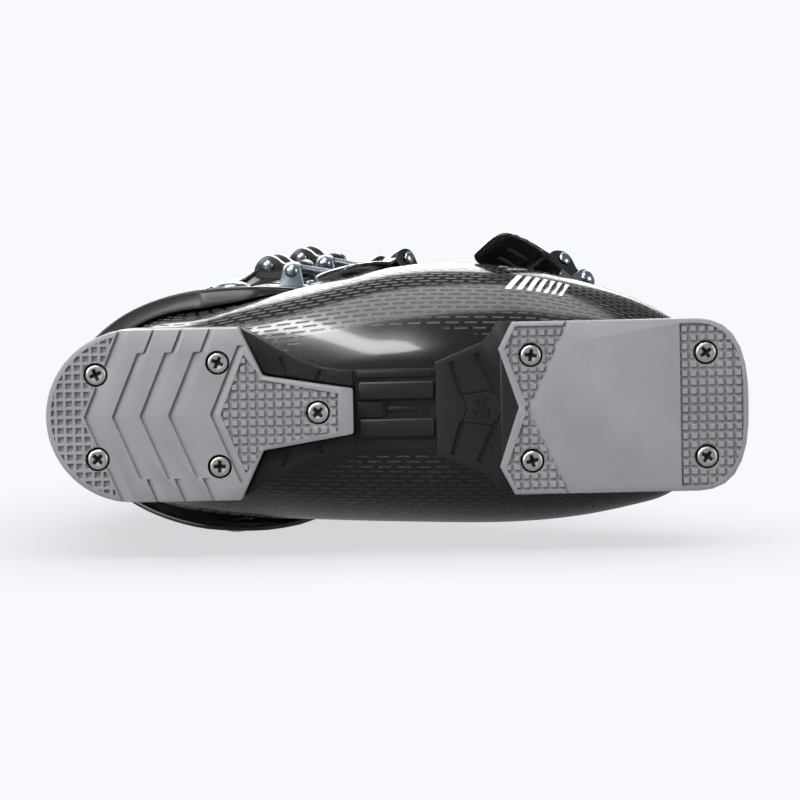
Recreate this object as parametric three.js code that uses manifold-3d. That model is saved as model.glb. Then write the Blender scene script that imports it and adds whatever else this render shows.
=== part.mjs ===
// A right alpine ski boot with four buckles, standing on its sole.
// Millimetres, +Z up. The toe points along -Y, and the lateral side, with the levers, is -X.
// The origin is under the middle of the whole boot, on the ground.
// "along" is the distance forward from the heel end of the sole, and "up" the height above the ground.
import * as THREE from "three";
import { mergeVertices } from "three/addons/utils/BufferGeometryUtils.js";
import Module from "manifold-3d";

const wasm = await Module();
wasm.setup();

// ---- Driving dimensions ----
const soleLength = 285; // heel end to toe end, a size 24 shell
const soleWidth = 70;
const toeLugHeight = 19; // the ledge that the front of a binding holds
const toeLugDepth = 14.5;
const heelLugHeight = 30; // the ledge that the back of a binding holds
const heelLugDepth = 8;
const toePlateThickness = 8;
const heelPlateThickness = 12;
const beamBottom = 9; // underside of the waisted beam between the plates
const grooveDepth = 3;
const shellWall = 4.5;
const cuffWall = 4;
const linerWall = 7;
const insoleThickness = 3;
const bedHeel = 36; // inside floor of the shell, under the heel
const bedToe = 23; // and under the ball of the foot
const slip = 0.3; // gap between pieces that rest on each other
const cuffPlay = 1.6; // gap between the lower shell and the cuff that turns over it
const flexAngle = 7; // how far the cuff leans forward, in degrees
const ankle = { along: 72, up: 92 }; // the cuff's hinge line
const ankleJoint = 48; // radius of the round joint between bootie and liner shaft
const pivotRadius = 4;
const seamWidth = 0.8; // seam between the cuff's two flaps
const strapWidth = 34;
const strapThickness = 2.5;

const screwHead = { radius: 4.3, height: 3 };
const screwShank = 2.2;
const screwRecess = 0.8;
const toeScrews = [
  { side: 21.5, along: 197 },
  { side: -21.5, along: 197 },
  { side: 21.2, along: 268 },
  { side: -21.2, along: 268 },
];
const heelScrews = [
  { side: 17.2, along: 20.5 },
  { side: -17.2, along: 20.5 },
  { side: 21.1, along: 70 },
  { side: -21.1, along: 70 },
  { side: 0, along: 110.3 },
];

const pinHeight = 7.5; // the lever's pins above the surface
const pinRadius = 1.6;
const leverThrow = 12; // from the lever's pins back to the bail's bar
const leverHalfWidth = 9;
const cheekInside = 4.9; // inside face of each lever cheek
const bladeClear = 0.5; // the least gap under the lever's free end
const earInside = leverHalfWidth + 0.4;
const earThickness = 2;
const bracketPlate = 1.6;
const yokeAt = 25; // from the lever's pins forward to the bail's yoke
const yokeLift = 9;
const wireSpread = 9;
const wireRadius = 1.7;
const ladderTop = 2.5;
const ladderHalfWidth = 5.5;
const toothHeight = 1.4;
const hookPlay = 2.6; // from the bail's wire to the tooth that holds it
const rivetShank = 1.8;
const bracketRivetAt = 4.5;
const ladderRivetAt = 16.5;

// ---- Frame and solids ----
// The outlines and rows below are drawn for one sole length, and stretch with the real one.
const drawnLength = 285;
const stretch = soleLength / drawnLength;
const yOf = (along) => soleLength / 2 - along * stretch;
const fromHeel = (depth) => depth / stretch;
const fromToe = (depth) => drawnLength - depth / stretch;
const point = (x, along, up) => new THREE.Vector3(x, yOf(along), up);
const radians = THREE.MathUtils.degToRad;
const lateral = new THREE.Vector3(-1, 0, 0);
const upward = new THREE.Vector3(0, 0, 1);

function solidOf(geometry) {
  const bare = new THREE.BufferGeometry();
  const source = geometry.index ? geometry.toNonIndexed() : geometry;
  bare.setAttribute("position", source.getAttribute("position"));
  const merged = mergeVertices(bare, 1e-3);
  const vertProperties = new Float32Array(merged.attributes.position.array);
  const triVerts = new Uint32Array(merged.index.array);
  const made = new wasm.Manifold(new wasm.Mesh({ numProp: 3, vertProperties, triVerts }));
  if (made.volume() >= 0) return made;
  for (let i = 0; i < triVerts.length; i += 3) {
    [triVerts[i + 1], triVerts[i + 2]] = [triVerts[i + 2], triVerts[i + 1]];
  }
  return new wasm.Manifold(new wasm.Mesh({ numProp: 3, vertProperties, triVerts }));
}

function geometryOf(solid) {
  const mesh = solid.getMesh();
  const corners = new Float32Array(mesh.numVert * 3);
  for (let i = 0; i < mesh.numVert; i++) {
    corners.set(mesh.vertProperties.subarray(i * mesh.numProp, i * mesh.numProp + 3), i * 3);
  }
  return new THREE.BufferGeometry()
    .setAttribute("position", new THREE.BufferAttribute(corners, 3))
    .setIndex(new THREE.BufferAttribute(mesh.triVerts, 1));
}

const join = (...solids) => solids.reduce((a, b) => a.add(b));
const cut = (solid, ...tools) => tools.reduce((a, b) => a.subtract(b), solid);
const largest = (solid) => solid.decompose().reduce((a, b) => (b.volume() > a.volume() ? b : a));

// A plan outline of [x, along] points, raised from one height to another.
function raised(outline, from, to) {
  const shape = new THREE.Shape(outline.map(([x, along]) => new THREE.Vector2(x, yOf(along))));
  const made = new THREE.ExtrudeGeometry(shape, { depth: to - from, bevelEnabled: false });
  return solidOf(made.translate(0, 0, from));
}

// A side outline of [along, up] points, spread across the boot between two x values.
function spread(outline, xLow = -90, xHigh = 90) {
  const shape = new THREE.Shape(outline.map(([along, up]) => new THREE.Vector2(along * stretch, up)));
  const made = new THREE.ExtrudeGeometry(shape, { depth: xHigh - xLow, bevelEnabled: false });
  const forward = new THREE.Vector3(0, -1, 0);
  const toRow = new THREE.Matrix4().makeBasis(forward, upward, lateral);
  return solidOf(made.applyMatrix4(toRow).translate(xHigh, yOf(0), 0));
}

// A cylinder, or a cone where the tip differs, from a point along a direction.
function rod(from, direction, length, radius, sides = 12, tip = radius) {
  const made = new THREE.CylinderGeometry(tip, radius, length, sides).translate(0, length / 2, 0);
  made.applyQuaternion(new THREE.Quaternion().setFromUnitVectors(new THREE.Vector3(0, 1, 0), direction));
  return solidOf(made.translate(from.x, from.y, from.z));
}

// Everything behind or ahead of a place along the sole.
const behind = (limit) => spread([[-30, -10], [limit, -10], [limit, 120], [-30, 120]]);
const ahead = (limit) => spread([[limit, -10], [320, -10], [320, 120], [limit, 120]]);

// ---- Lofted bodies ----
// Each row is a slice across the boot. It passes through (along, up) and leans by "tilt" degrees:
// 0 is upright and 90 is level. low, wide and high run along the slice from the sole side to the instep
// side, and the slice bulges by lateral and medial on its two sides. A square of 2 gives an ellipse.
const ringSides = 18;
const fillSteps = 2;
const placeKeys = ["along", "up", "tilt"];
const shapeKeys = ["low", "wide", "high", "lateral", "medial", "squareLow", "squareHigh"];
const rowKeys = [...placeKeys, ...shapeKeys];

function onSlice(row, turn, grow) {
  const lean = radians(row.tilt);
  const across = Math.cos(turn);
  const rise = Math.sin(turn);
  const square = 2 / (rise < 0 ? row.squareLow : row.squareHigh);
  const reach = (across < 0 ? row.lateral : row.medial) + grow;
  const span = (rise < 0 ? row.wide - row.low : row.high - row.wide) + grow;
  const x = Math.sign(across) * Math.abs(across) ** square * reach;
  const r = row.wide + Math.sign(rise) * Math.abs(rise) ** square * span;
  return point(x, row.along + Math.sin(lean) * r, row.up + Math.cos(lean) * r);
}

// Fills in smooth rows between the ones given.
function smoothed(given) {
  const rows = given.map((values) => Object.fromEntries(rowKeys.map((key, i) => [key, values[i]])));
  const made = [];
  for (let i = 0; i < rows.length - 1; i++) {
    const [a, b] = [rows[Math.max(i - 1, 0)], rows[i]];
    const [c, d] = [rows[i + 1], rows[Math.min(i + 2, rows.length - 1)]];
    for (let k = 0; k < fillSteps; k++) {
      const t = k / fillSteps;
      const between = (key) =>
        0.5 *
        (2 * b[key] +
          (c[key] - a[key]) * t +
          (2 * a[key] - 5 * b[key] + 4 * c[key] - d[key]) * t * t +
          (3 * b[key] - a[key] - 3 * c[key] + d[key]) * t ** 3);
      made.push(Object.fromEntries(rowKeys.map((key) => [key, between(key)])));
    }
  }
  made.push(rows.at(-1));
  return made;
}

// A closed solid through the rows, grown outwards by a distance, or shrunk where it is negative.
function lofted(rows, grow = 0) {
  const rings = rows.map((row) =>
    Array.from({ length: ringSides }, (_, i) => onSlice(row, (2 * Math.PI * i) / ringSides, grow)),
  );
  const corners = rings.flat();
  const faces = [];
  const next = (k) => (k + 1) % ringSides;
  for (let i = 0; i < rings.length - 1; i++) {
    for (let k = 0; k < ringSides; k++) {
      const [a, b] = [i * ringSides + k, i * ringSides + next(k)];
      faces.push(a, b, b + ringSides, a, b + ringSides, a + ringSides);
    }
  }
  for (const end of [0, rings.length - 1]) {
    const middle = rings[end].reduce((sum, v) => sum.add(v), new THREE.Vector3()).divideScalar(ringSides);
    corners.push(middle);
    for (let k = 0; k < ringSides; k++) {
      const pair = [end * ringSides + k, end * ringSides + next(k)];
      faces.push(...(end === 0 ? pair.reverse() : pair), corners.length - 1);
    }
  }
  return solidOf(new THREE.BufferGeometry().setFromPoints(corners).setIndex(faces));
}

// The shell runs from the toe back over the instep, then fans round a point above the instep to the heel
// and up the ankle.
const fan = { along: 190, up: 165 };
const toeTip = 270;
const shellRows = smoothed([
  [toeTip, fan.up, 0, -138, -130, -121, 9, 10, 2, 2],
  [268.5, fan.up, 0, -147, -130, -112, 19, 21, 2.2, 2],
  [263, fan.up, 0, -154, -131, -106, 29, 32, 2.6, 2.1],
  [253, fan.up, 0, -156, -130, -101, 36.5, 39.5, 2.8, 2.2],
  [238, fan.up, 0, -156, -126, -97, 44, 44, 2.8, 2.2],
  [216, fan.up, 0, -155, -119, -90, 51, 48.5, 2.7, 2.2],
  [fan.along, fan.up, 0, -153, -112, -80, 56.5, 51, 2.6, 2.2],
  [fan.along, fan.up, 20, -161, -110, -67, 58, 51, 2.5, 2.2],
  [fan.along, fan.up, 38, -182, -115, -56, 51, 50.5, 2.4, 2.2],
  [fan.along, fan.up, 48, -208, -124, -51, 44, 50, 2.3, 2.2],
  [fan.along, fan.up, 56, -216, -124, -47, 43, 49.5, 2.2, 2.2],
  [fan.along, fan.up, 66, -199, -117, -44, 42, 49, 2.1, 2.2],
  [fan.along, fan.up, 78, -187, -110, -42, 39.5, 48, 2.1, 2.2],
  [fan.along, fan.up, 90, -178, -106, -41, 37.5, 47, 2.1, 2.2],
]);

// The cuff's slices, and the liner shaft's, lie square to the lower leg, which leans forward.
const cuffRows = smoothed([
  [63.4, 60, 105, -64, 15, 88, 50, 54, 2.2, 2.2],
  [72, 92, 105, -73, 12, 86, 49, 55, 2.2, 2.2],
  [80.8, 125, 105, -80, 5, 80, 47, 54.5, 2.2, 2.2],
  [90.2, 160, 105, -80, 0, 70, 46, 53, 2.2, 2.2],
  [100.9, 200, 105, -73, -3, 63, 47.5, 53, 2.2, 2.2],
  [114.3, 250, 105, -68, -3, 60, 50, 53.5, 2.2, 2.2],
  [130.4, 310, 105, -66, -2, 62, 53.5, 55, 2.2, 2.2],
  [141.1, 350, 105, -66, -2, 64, 56, 57, 2.2, 2.2],
]);
const linerRows = smoothed([
  [63.4, 60, 105, -48, 10, 64, 31, 38, 2.2, 2.2],
  [72, 92, 105, -58, 8, 64, 32, 39.5, 2.2, 2.2],
  [80.8, 125, 105, -68, 4, 55, 31.5, 40, 2.2, 2.2],
  [90.2, 160, 105, -73, -2, 42, 35.5, 43, 2.2, 2.2],
  [95, 178, 105, -71, -4, 39, 40, 46.5, 2.2, 2.2],
  [100.9, 200, 105, -68, -3, 55.5, 42.5, 48, 2.2, 2.2],
  [114.3, 250, 105, -63, -3, 54, 45, 48.5, 2.2, 2.2],
  [130.4, 310, 105, -61, -2, 57, 48.5, 50, 2.2, 2.2],
  [143.8, 360, 105, -60, -2, 56, 50, 51, 2.2, 2.2],
]);
const shellOuter = lofted(shellRows);
const cuffOuter = lofted(cuffRows);
const shellInner = (gap = 0) => lofted(shellRows, -shellWall - gap).subtract(ahead(toeTip - shellWall - gap));

// ---- The ankle hinge ----
const pivotLine = (radius, sides = 16) => rod(point(90, ankle.along, ankle.up), lateral, 180, radius, sides);

// The same body leaned forward about the ankle by an angle in degrees.
function flexed(solid, angle) {
  const there = new THREE.Matrix4().makeTranslation(0, yOf(ankle.along), ankle.up);
  const back = there.clone().invert();
  const turn = there.multiply(new THREE.Matrix4().makeRotationX(radians(angle))).multiply(back);
  return solidOf(geometryOf(solid).applyMatrix4(turn));
}

// A wedge of the side view with its point on the ankle, between two angles up from straight ahead.
function wedge(from, to) {
  const reach = 300;
  const rim = [0, 0.25, 0.5, 0.75, 1].map((t) => {
    const turn = radians(from + (to - from) * t);
    return [ankle.along + reach * Math.cos(turn), ankle.up + reach * Math.sin(turn)];
  });
  return spread([[ankle.along, ankle.up], ...rim]);
}

// ---- Outlines of the sole, as [x, along] ----
const half = soleWidth / 2;
function mirrored(side) {
  const other = side.filter(([x]) => x > 0).map(([x, along]) => [-x, along]);
  return [...side, ...other.reverse()];
}

const heelRound = Array.from({ length: 8 }, (_, i) => {
  const turn = radians((90 * i) / 7);
  return [half * Math.sin(turn), half * (1 - Math.cos(turn))];
});
const heelOutline = mirrored([...heelRound, [half, 78.6], [15, 88], [9, 124.5]]);
const toeOutline = mirrored([
  [0, 192],
  [24, 184],
  [half, 189.7],
  [half, 268],
  [32.5, 275],
  [26, 281],
  [16, 284],
  [6, drawnLength],
]);
const toeBlockOutline = mirrored([
  [0, 184],
  [24, 184],
  [half, 189.7],
  [half, 250],
  [30, 263],
  [20, fromToe(toeLugDepth + slip)],
]);
const beamOutline = mirrored([
  [0, 78],
  [half, 79],
  [half - 8, 92],
  [20, 105],
  [16.5, 120],
  [16.5, 158],
  [19, 158.5],
  [27, 178],
  [half, 184],
  [half, 192],
  [0, 194],
]);

// Moves an outline outwards by a distance.
function widened(outline, by) {
  const area = THREE.ShapeUtils.area(outline.map(([x, along]) => new THREE.Vector2(x, along)));
  return outline.map((corner, i) => {
    const side = (a, b) => new THREE.Vector2(b[0] - a[0], b[1] - a[1]).normalize();
    const after = side(corner, outline[(i + 1) % outline.length]);
    const bend = side(outline.at(i - 1), corner).add(after).normalize();
    const reach = (Math.sign(area) * by) / Math.max(0.3, bend.dot(after));
    return [corner[0] + bend.y * reach, corner[1] - bend.x * reach];
  });
}

// ---- Sole plates and their screws ----
function screwHoles(spots, thickness) {
  const headRoom = screwRecess + screwHead.height + 1 + slip;
  const holes = spots.flatMap(({ side, along }) => [
    rod(point(side, along, -1), upward, headRoom, screwHead.radius + 2 * slip, 12),
    rod(point(side, along, -1), upward, thickness + 10, screwShank + slip, 8),
  ]);
  return join(...holes);
}

function toePlate() {
  const lug = raised(toeOutline, 0, toeLugHeight).intersect(ahead(fromToe(toeLugDepth)));
  const plate = raised(toeOutline, 0, toePlateThickness);
  return cut(join(plate, lug), screwHoles(toeScrews, toePlateThickness));
}

function heelPlate() {
  const lug = raised(heelOutline, 0, heelLugHeight).intersect(behind(fromHeel(heelLugDepth)));
  const plate = raised(heelOutline, 0, heelPlateThickness);
  return cut(join(plate, lug), screwHoles(heelScrews, heelPlateThickness));
}

function screw({ side, along }, thickness) {
  const { radius, height } = screwHead;
  const profile = [
    [0, screwRecess],
    [radius - 1, screwRecess],
    [radius, screwRecess + 1.2],
    [radius, screwRecess + height],
    [screwShank, screwRecess + height],
    [screwShank, thickness + 6],
    [0, thickness + 8],
  ];
  const made = new THREE.LatheGeometry(profile.map(([r, z]) => new THREE.Vector2(r, z)), 8);
  return solidOf(made.rotateX(Math.PI / 2).translate(side, yOf(along), 0));
}

// ---- Lower shell ----
// Blocks stand over the two plates, joined by a waisted beam with V grooves and a slot.
function vGroove(along, rise, reach) {
  const width = 2.2;
  const edge = (shift) => [[reach, along + shift], [0, along + shift + rise], [-reach, along + shift]];
  return raised([...edge(0), ...edge(-width).reverse()], beamBottom - 1, beamBottom + grooveDepth);
}

// The side outline of everything above the shell's inside floor.
const aboveBed = (lift) =>
  spread([
    [-10, bedHeel + lift],
    [72, bedHeel - 1 + lift],
    [170, bedToe + lift],
    [300, bedToe + lift],
    [300, 400],
    [-10, 400],
  ]);
const aboveShell = spread([
  [-20, 118],
  [20, 123],
  [70, 133],
  [105, 132],
  [130, 148],
  [160, 157],
  [170, 300],
  [-20, 300],
]);

// The slot over the instep that lets the foot in.
const slotEnd = 226;
const throat = (grow) =>
  spread(
    [[120, 100], [150, 92 - grow], [slotEnd + grow, 62], [slotEnd + grow, 190], [120, 190]],
    -13 - grow,
    9 + grow,
  );

function lowerShell() {
  const heelBlock = raised(heelOutline, heelPlateThickness + slip, heelLugHeight + 7).subtract(ahead(88));
  const toeBlock = raised(toeBlockOutline, toePlateThickness + slip, 26);
  const toeSeat = widened(toeOutline, slip);
  const heelSeat = widened(heelOutline, slip);
  const outside = cut(
    join(shellOuter, toeBlock, heelBlock, raised(beamOutline, beamBottom, 26)),
    raised(toeSeat, -1, toePlateThickness + slip),
    raised(toeSeat, -1, toeLugHeight + 24).intersect(ahead(fromToe(toeLugDepth + slip))),
    raised(heelSeat, -1, heelPlateThickness + slip),
    raised(heelSeat, -1, heelLugHeight + 14).intersect(behind(fromHeel(heelLugDepth + slip))),
    vGroove(165, 4.5, 19),
    vGroove(176.5, 7, 22),
    raised([[-4.5, 136.5], [4.5, 136.5], [4.5, 155.5], [-4.5, 155.5]], 0, beamBottom + grooveDepth),
  );
  return cut(
    outside,
    shellInner().intersect(aboveBed(-14)),
    throat(0),
    aboveShell,
    pivotLine(pivotRadius + slip),
    screwHoles(toeScrews, toePlateThickness),
    screwHoles(heelScrews, heelPlateThickness),
    ...buckles.filter(({ rows }) => rows === shellRows).map(rivetHoles),
  );
}

function bootboard() {
  return cut(shellInner(slip), aboveBed(0), behind(14), ahead(254));
}

// Fills the slot over the instep, and laps onto the shell in front of the cuff.
function throatGaiter() {
  const lapStart = 176;
  const filling = cut(shellOuter, shellInner(), aboveShell).intersect(throat(-slip));
  const band = (from, to) => spread([[from, 60], [to, 60], [to, 130], [from, 130]], -17, 13);
  const skin = cut(lofted(shellRows, 2.2), lofted(shellRows, slip));
  const lap = skin.intersect(band(lapStart, slotEnd + 8));
  const stem = cut(lofted(shellRows, 1), shellInner())
    .intersect(throat(-slip))
    .intersect(band(lapStart + 2, slotEnd));
  return join(filling, stem, lap);
}

// ---- Liner: a bootie in the shell, and a shaft and a tongue that turn with the cuff ----
function linerFoot() {
  const outside = shellInner(slip).intersect(aboveBed(slip));
  const hollow = shellInner(slip + linerWall).intersect(aboveBed(slip + linerWall));
  return cut(outside, hollow, pivotLine(ankleJoint + 2 * slip, 40), wedge(9, 178));
}

function insole() {
  const bottom = linerWall + 2 * slip;
  return cut(shellInner(bottom).intersect(aboveBed(bottom)), aboveBed(bottom + insoleThickness));
}

function linerTube() {
  const moved = (row, by) => {
    const lean = radians(row.tilt);
    return { ...row, along: row.along - Math.cos(lean) * by, up: row.up + Math.sin(lean) * by };
  };
  const open = [moved(linerRows[0], -5), ...linerRows.slice(1, -1), moved(linerRows.at(-1), 5)];
  return cut(lofted(linerRows), lofted(open, -linerWall));
}
const aboveLine = (back, front) =>
  spread([[-60, back], [60, back], [130, front], [260, front], [260, 460], [-60, 460]]);
const tongueZone = (grow) => spread([[100, 40], [100, 400], [260, 400], [260, 40]], -27 - grow, 27 + grow);

function linerShaft() {
  const zone = join(pivotLine(ankleJoint, 40), wedge(20, 176));
  return cut(linerTube().intersect(zone), tongueZone(slip), aboveLine(326, 312));
}

function linerTongue() {
  return cut(linerTube().intersect(wedge(24, 120)).intersect(tongueZone(0)), aboveLine(338, 334));
}

// ---- Cuff ----
const belowCuff = spread([
  [-20, -10],
  [-20, 84],
  [20, 82],
  [44, 70],
  [60, 62],
  [84, 62],
  [97, 76],
  [112, 108],
  [130, 138],
  [150, 152],
  [210, 156],
  [210, -10],
]);
const aboveCuff = spread([[-20, 308], [45, 308], [90, 298], [140, 280], [240, 268], [240, 460], [-20, 460]]);

// The two flaps meet over the shin in a slanted seam that follows the front of the leg.
function frontSeam() {
  const legSlope = 0.2;
  const seam = raised([[-2, 190], [-2 + seamWidth, 190], [30 + seamWidth, 145], [30, 145]], -70, 260);
  const lean = new THREE.Matrix4().makeShear(0, 0, 0, 0, 0, -legSlope);
  return solidOf(geometryOf(seam).applyMatrix4(lean).translate(0, 32, 0));
}

function cuff() {
  const shellZone = cut(lofted(shellRows, cuffPlay / 2), aboveShell);
  return cut(
    cuffOuter,
    lofted(cuffRows, -cuffWall),
    belowCuff,
    aboveCuff,
    ...[0, 0.2, 0.4, 0.6, 0.8, 1].map((share) => flexed(shellZone, -flexAngle * share)),
    pivotLine(pivotRadius + 2 * slip),
    frontSeam(),
    ...buckles.filter(({ rows }) => rows === cuffRows).map(rivetHoles),
  );
}

// A rivet on the hinge line, with its head outside the cuff and its shank in the shell's wall.
function cuffPivot(side, shellSide, cuffSide) {
  const outward = new THREE.Vector3(side, 0, 0);
  const start = shellSide - shellWall + 2 * slip;
  const head = rod(point(side * (cuffSide - 4), ankle.along, ankle.up), outward, 6.2, 9, 20, 8);
  const shank = rod(point(side * start, ankle.along, ankle.up), outward, cuffSide - start, pivotRadius, 12);
  return join(cut(head, lofted(cuffRows, slip)), shank);
}

function powerStrap() {
  const edge = (along, lift) => [along, 262 + lift - (along - 45) * 0.24];
  const band = spread([edge(-20, 0), edge(260, 0), edge(260, strapWidth), edge(-20, strapWidth)]);
  return cut(lofted(cuffRows, strapThickness + slip), lofted(cuffRows, slip)).intersect(band);
}

// ---- Buckles ----
// Each buckle runs over the surface from its bracket (from) to its catch (to). Rows are counted from the
// body's first given row, and the turn goes from 90 on the front or top to 180 on the lateral side.
// The lever ends at "tip" along the run and out from the surface at the bracket.
const buckles = [
  { name: "toe", rows: shellRows, from: [5.05, 141], to: [3.3, 84], tip: [-50, -12] },
  { name: "instep", rows: shellRows, from: [7.7, 143], to: [7.1, 66], tip: [-48, -14] },
  { name: "lower_cuff", rows: cuffRows, from: [3.35, 176], to: [3.3, 80], tip: [-50, -7] },
  { name: "upper_cuff", rows: cuffRows, from: [4.5, 174], to: [4.5, 78], tip: [-46, -6] },
];

function onSurface({ rows, from, to }, share, grow = 0) {
  const mix = (a, b) => a + (b - a) * share;
  const place = Math.min(mix(from[0], to[0]) * fillSteps, rows.length - 1.001);
  const [a, b] = [rows[Math.floor(place)], rows[Math.floor(place) + 1]];
  const row = Object.fromEntries(rowKeys.map((key) => [key, a[key] + (b[key] - a[key]) * (place % 1)]));
  return onSlice(row, radians(mix(from[1], to[1])), grow);
}

// The surface's own axes at a share of the way: along the run, outwards, and across the run.
function surfaceFrame(buckle, share) {
  const step = 0.02;
  const at = onSurface(buckle, share);
  const run = onSurface(buckle, share + step).sub(onSurface(buckle, share - step)).normalize();
  const { from, to } = buckle;
  const nudged = (by) => ({ ...buckle, from: [from[0] + by, from[1]], to: [to[0] + by, to[1]] });
  const beside = onSurface(nudged(step), share).sub(onSurface(nudged(-step), share));
  const out = run.clone().cross(beside).normalize();
  if (out.dot(onSurface(buckle, share, 5).sub(at)) < 0) out.negate();
  const cross = run.clone().cross(out).normalize();
  return { run, out, cross, basis: new THREE.Matrix4().makeBasis(run, out, cross).setPosition(at) };
}

const inFrame = ({ basis }, run, out, cross) => new THREE.Vector3(run, out, cross).applyMatrix4(basis);

// A side outline of [run, out] points with round holes, spread across a frame.
function crosswise(frame, outline, low, high, holes = []) {
  const shape = new THREE.Shape(outline.map(([run, out]) => new THREE.Vector2(run, out)));
  for (const [run, out, radius] of holes) {
    shape.holes.push(new THREE.Path().absarc(run, out, radius, 0, 2 * Math.PI, true));
  }
  const made = new THREE.ExtrudeGeometry(shape, { depth: high - low, bevelEnabled: false, curveSegments: 4 });
  return solidOf(made.translate(0, 0, low).applyMatrix4(frame.basis));
}

const bothSides = (make, inside, outside) => join(make(inside, outside), make(-outside, -inside));
const barPlace = [-leverThrow, pinHeight + 2];

function rivetHoles(buckle) {
  const hole = (frame, at) => rod(inFrame(frame, at, -9, 0), frame.out, 20, rivetShank + slip, 8);
  return join(hole(surfaceFrame(buckle, 0), bracketRivetAt), hole(surfaceFrame(buckle, 1), ladderRivetAt));
}

function rivet(frame, at, seat) {
  const head = rod(inFrame(frame, at, seat + slip, 0), frame.out, 1.3, 3.2, 8, 2.2);
  return join(head, rod(inFrame(frame, at, -3.5, 0), frame.out, seat + slip + 3.7, rivetShank, 6));
}

function bracket(buckle) {
  const frame = surfaceFrame(buckle, 0);
  const reach = earInside + earThickness;
  const plate = crosswise(frame, [[-13, -9], [9, -9], [9, bracketPlate], [-13, bracketPlate]], -reach, reach);
  const top = pinHeight + 3.9;
  const halfEar = [[8, -9], [6.5, 3], [4.2, top - 2.4], [2.4, top]];
  const ear = [...halfEar, ...halfEar.map(([run, out]) => [-run, out]).reverse()];
  const hole = [0, pinHeight, pinRadius + slip];
  const ears = bothSides((low, high) => crosswise(frame, ear, low, high, [hole]), earInside, reach);
  return cut(join(plate, ears), lofted(buckle.rows, slip), rivetHoles(buckle));
}

// How far the body bulges out of a bracket's frame over a stretch of the run behind it.
function bulge(buckle, frame, from, to) {
  const toFrame = frame.basis.clone().invert();
  const places = Array.from({ length: 40 }, (_, i) => onSurface(buckle, -i / 40).applyMatrix4(toFrame));
  return Math.max(...places.filter(({ x }) => x >= from && x <= to).map(({ y }) => y));
}

// Two cheeks carry the pins, and a blade joins them behind the bail's bar.
function lever(buckle) {
  const frame = surfaceFrame(buckle, 0);
  const [end, given] = buckle.tip;
  const drop = Math.max(given, bulge(buckle, frame, end, end + 12) + bladeClear);
  const [barRun, barOut] = barPlace;
  const cheek = [
    [3.4, 5],
    [3.6, 9.5],
    [2, pinHeight + 3.7],
    [barRun + 7, pinHeight + 3.5],
    [barRun + 3, barOut + 4.1],
    [barRun - 2, barOut + 4.3],
    [barRun - 6, barOut + 1.5],
    [barRun - 7, 3.5],
    [-4, 3.2],
    [0, 3.2],
  ];
  const blade = [
    [barRun - 4.5, barOut + 2.9],
    [-25, 9 + drop / 4],
    [end + 2, drop + 6.6],
    [end, drop + 5],
    [end, drop + 2],
    [end + 10, drop + 3],
    [-25, 3.6 + drop / 4],
    [barRun - 7, 3.5],
    [barRun - 4.5, 5],
  ];
  const holes = [[0, pinHeight, pinRadius + slip], [barRun, barOut, pinRadius + slip]];
  const slab = (low, high) => crosswise(frame, cheek, low, high, holes);
  const cheeks = bothSides(slab, cheekInside, leverHalfWidth);
  return join(cheeks, crosswise(frame, blade, -leverHalfWidth, leverHalfWidth));
}

// A stub pin through one ear and one cheek, with a domed head.
function leverPin(buckle, side) {
  const frame = surfaceFrame(buckle, 0);
  const outward = frame.cross.clone().multiplyScalar(side);
  const from = (distance) => inFrame(frame, 0, pinHeight, side * distance);
  const outside = earInside + earThickness;
  const stem = rod(from(cheekInside + slip), outward, outside + 1 - cheekInside, pinRadius, 6);
  return join(stem, rod(from(outside + slip), outward, 1.6, 3.2, 10, 1.8));
}

// The bail hangs on the lever by a cross bar. A round adjuster leads to a yoke, and a wire loop runs
// from the yoke over the surface to the catch.
function bail(buckle) {
  const frame = surfaceFrame(buckle, 0);
  const [barRun, barOut] = barPlace;
  const barReach = leverHalfWidth + 0.8;
  const bar = rod(inFrame(frame, barRun, barOut, -barReach), frame.cross, 2 * barReach, pinRadius, 6);
  const eye = rod(inFrame(frame, barRun, barOut, -4.4), frame.cross, 8.8, 3, 8);
  const middle = onSurface(buckle, 0.5);
  const span = onSurface(buckle, 0).distanceTo(middle) + middle.distanceTo(onSurface(buckle, 1));
  const yokeShare = yokeAt / span;
  const yokeMiddle = onSurface(buckle, yokeShare, yokeLift);
  const yokeCross = surfaceFrame(buckle, yokeShare).cross;
  const start = inFrame(frame, barRun, barOut, 0);
  const reach = yokeMiddle.clone().sub(start);
  const along = reach.clone().normalize();
  const shaft = rod(start, along, reach.length(), 2.2, 6);
  const barrel = rod(start.addScaledVector(reach, 0.68), along, reach.length() * 0.32, 3.8, 10);
  const yokeReach = wireSpread + 1.5;
  const yoke = rod(yokeMiddle.clone().addScaledVector(yokeCross, -yokeReach), yokeCross, 2 * yokeReach, 3, 8);
  return join(bar, eye, shaft, barrel, yoke, wireLoop(buckle, yokeShare));
}

function wireLoop(buckle, yokeShare) {
  const ride = ladderTop + slip + wireRadius;
  const side = (sign) =>
    [0, 0.25, 0.5, 0.75, 0.97].map((t) => {
      const share = yokeShare + (1 - yokeShare) * t;
      const lift = yokeLift + (ride - yokeLift) * Math.min(1, t * 1.6);
      const place = onSurface(buckle, share, lift);
      return place.addScaledVector(surfaceFrame(buckle, share).cross, sign * wireSpread);
    });
  const corner = (sign) => inFrame(surfaceFrame(buckle, 1), 0, ride, sign * (wireSpread - 1.5));
  const stops = [...side(-1), corner(-1), corner(1), ...side(1).reverse()];
  const path = new THREE.CatmullRomCurve3(stops, false, "centripetal");
  const section = new THREE.Shape().absarc(0, 0, wireRadius, 0, 2 * Math.PI);
  const made = new THREE.ExtrudeGeometry(section, {
    steps: 16,
    curveSegments: 3,
    extrudePath: path,
    bevelEnabled: false,
  });
  return solidOf(made);
}

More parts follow.
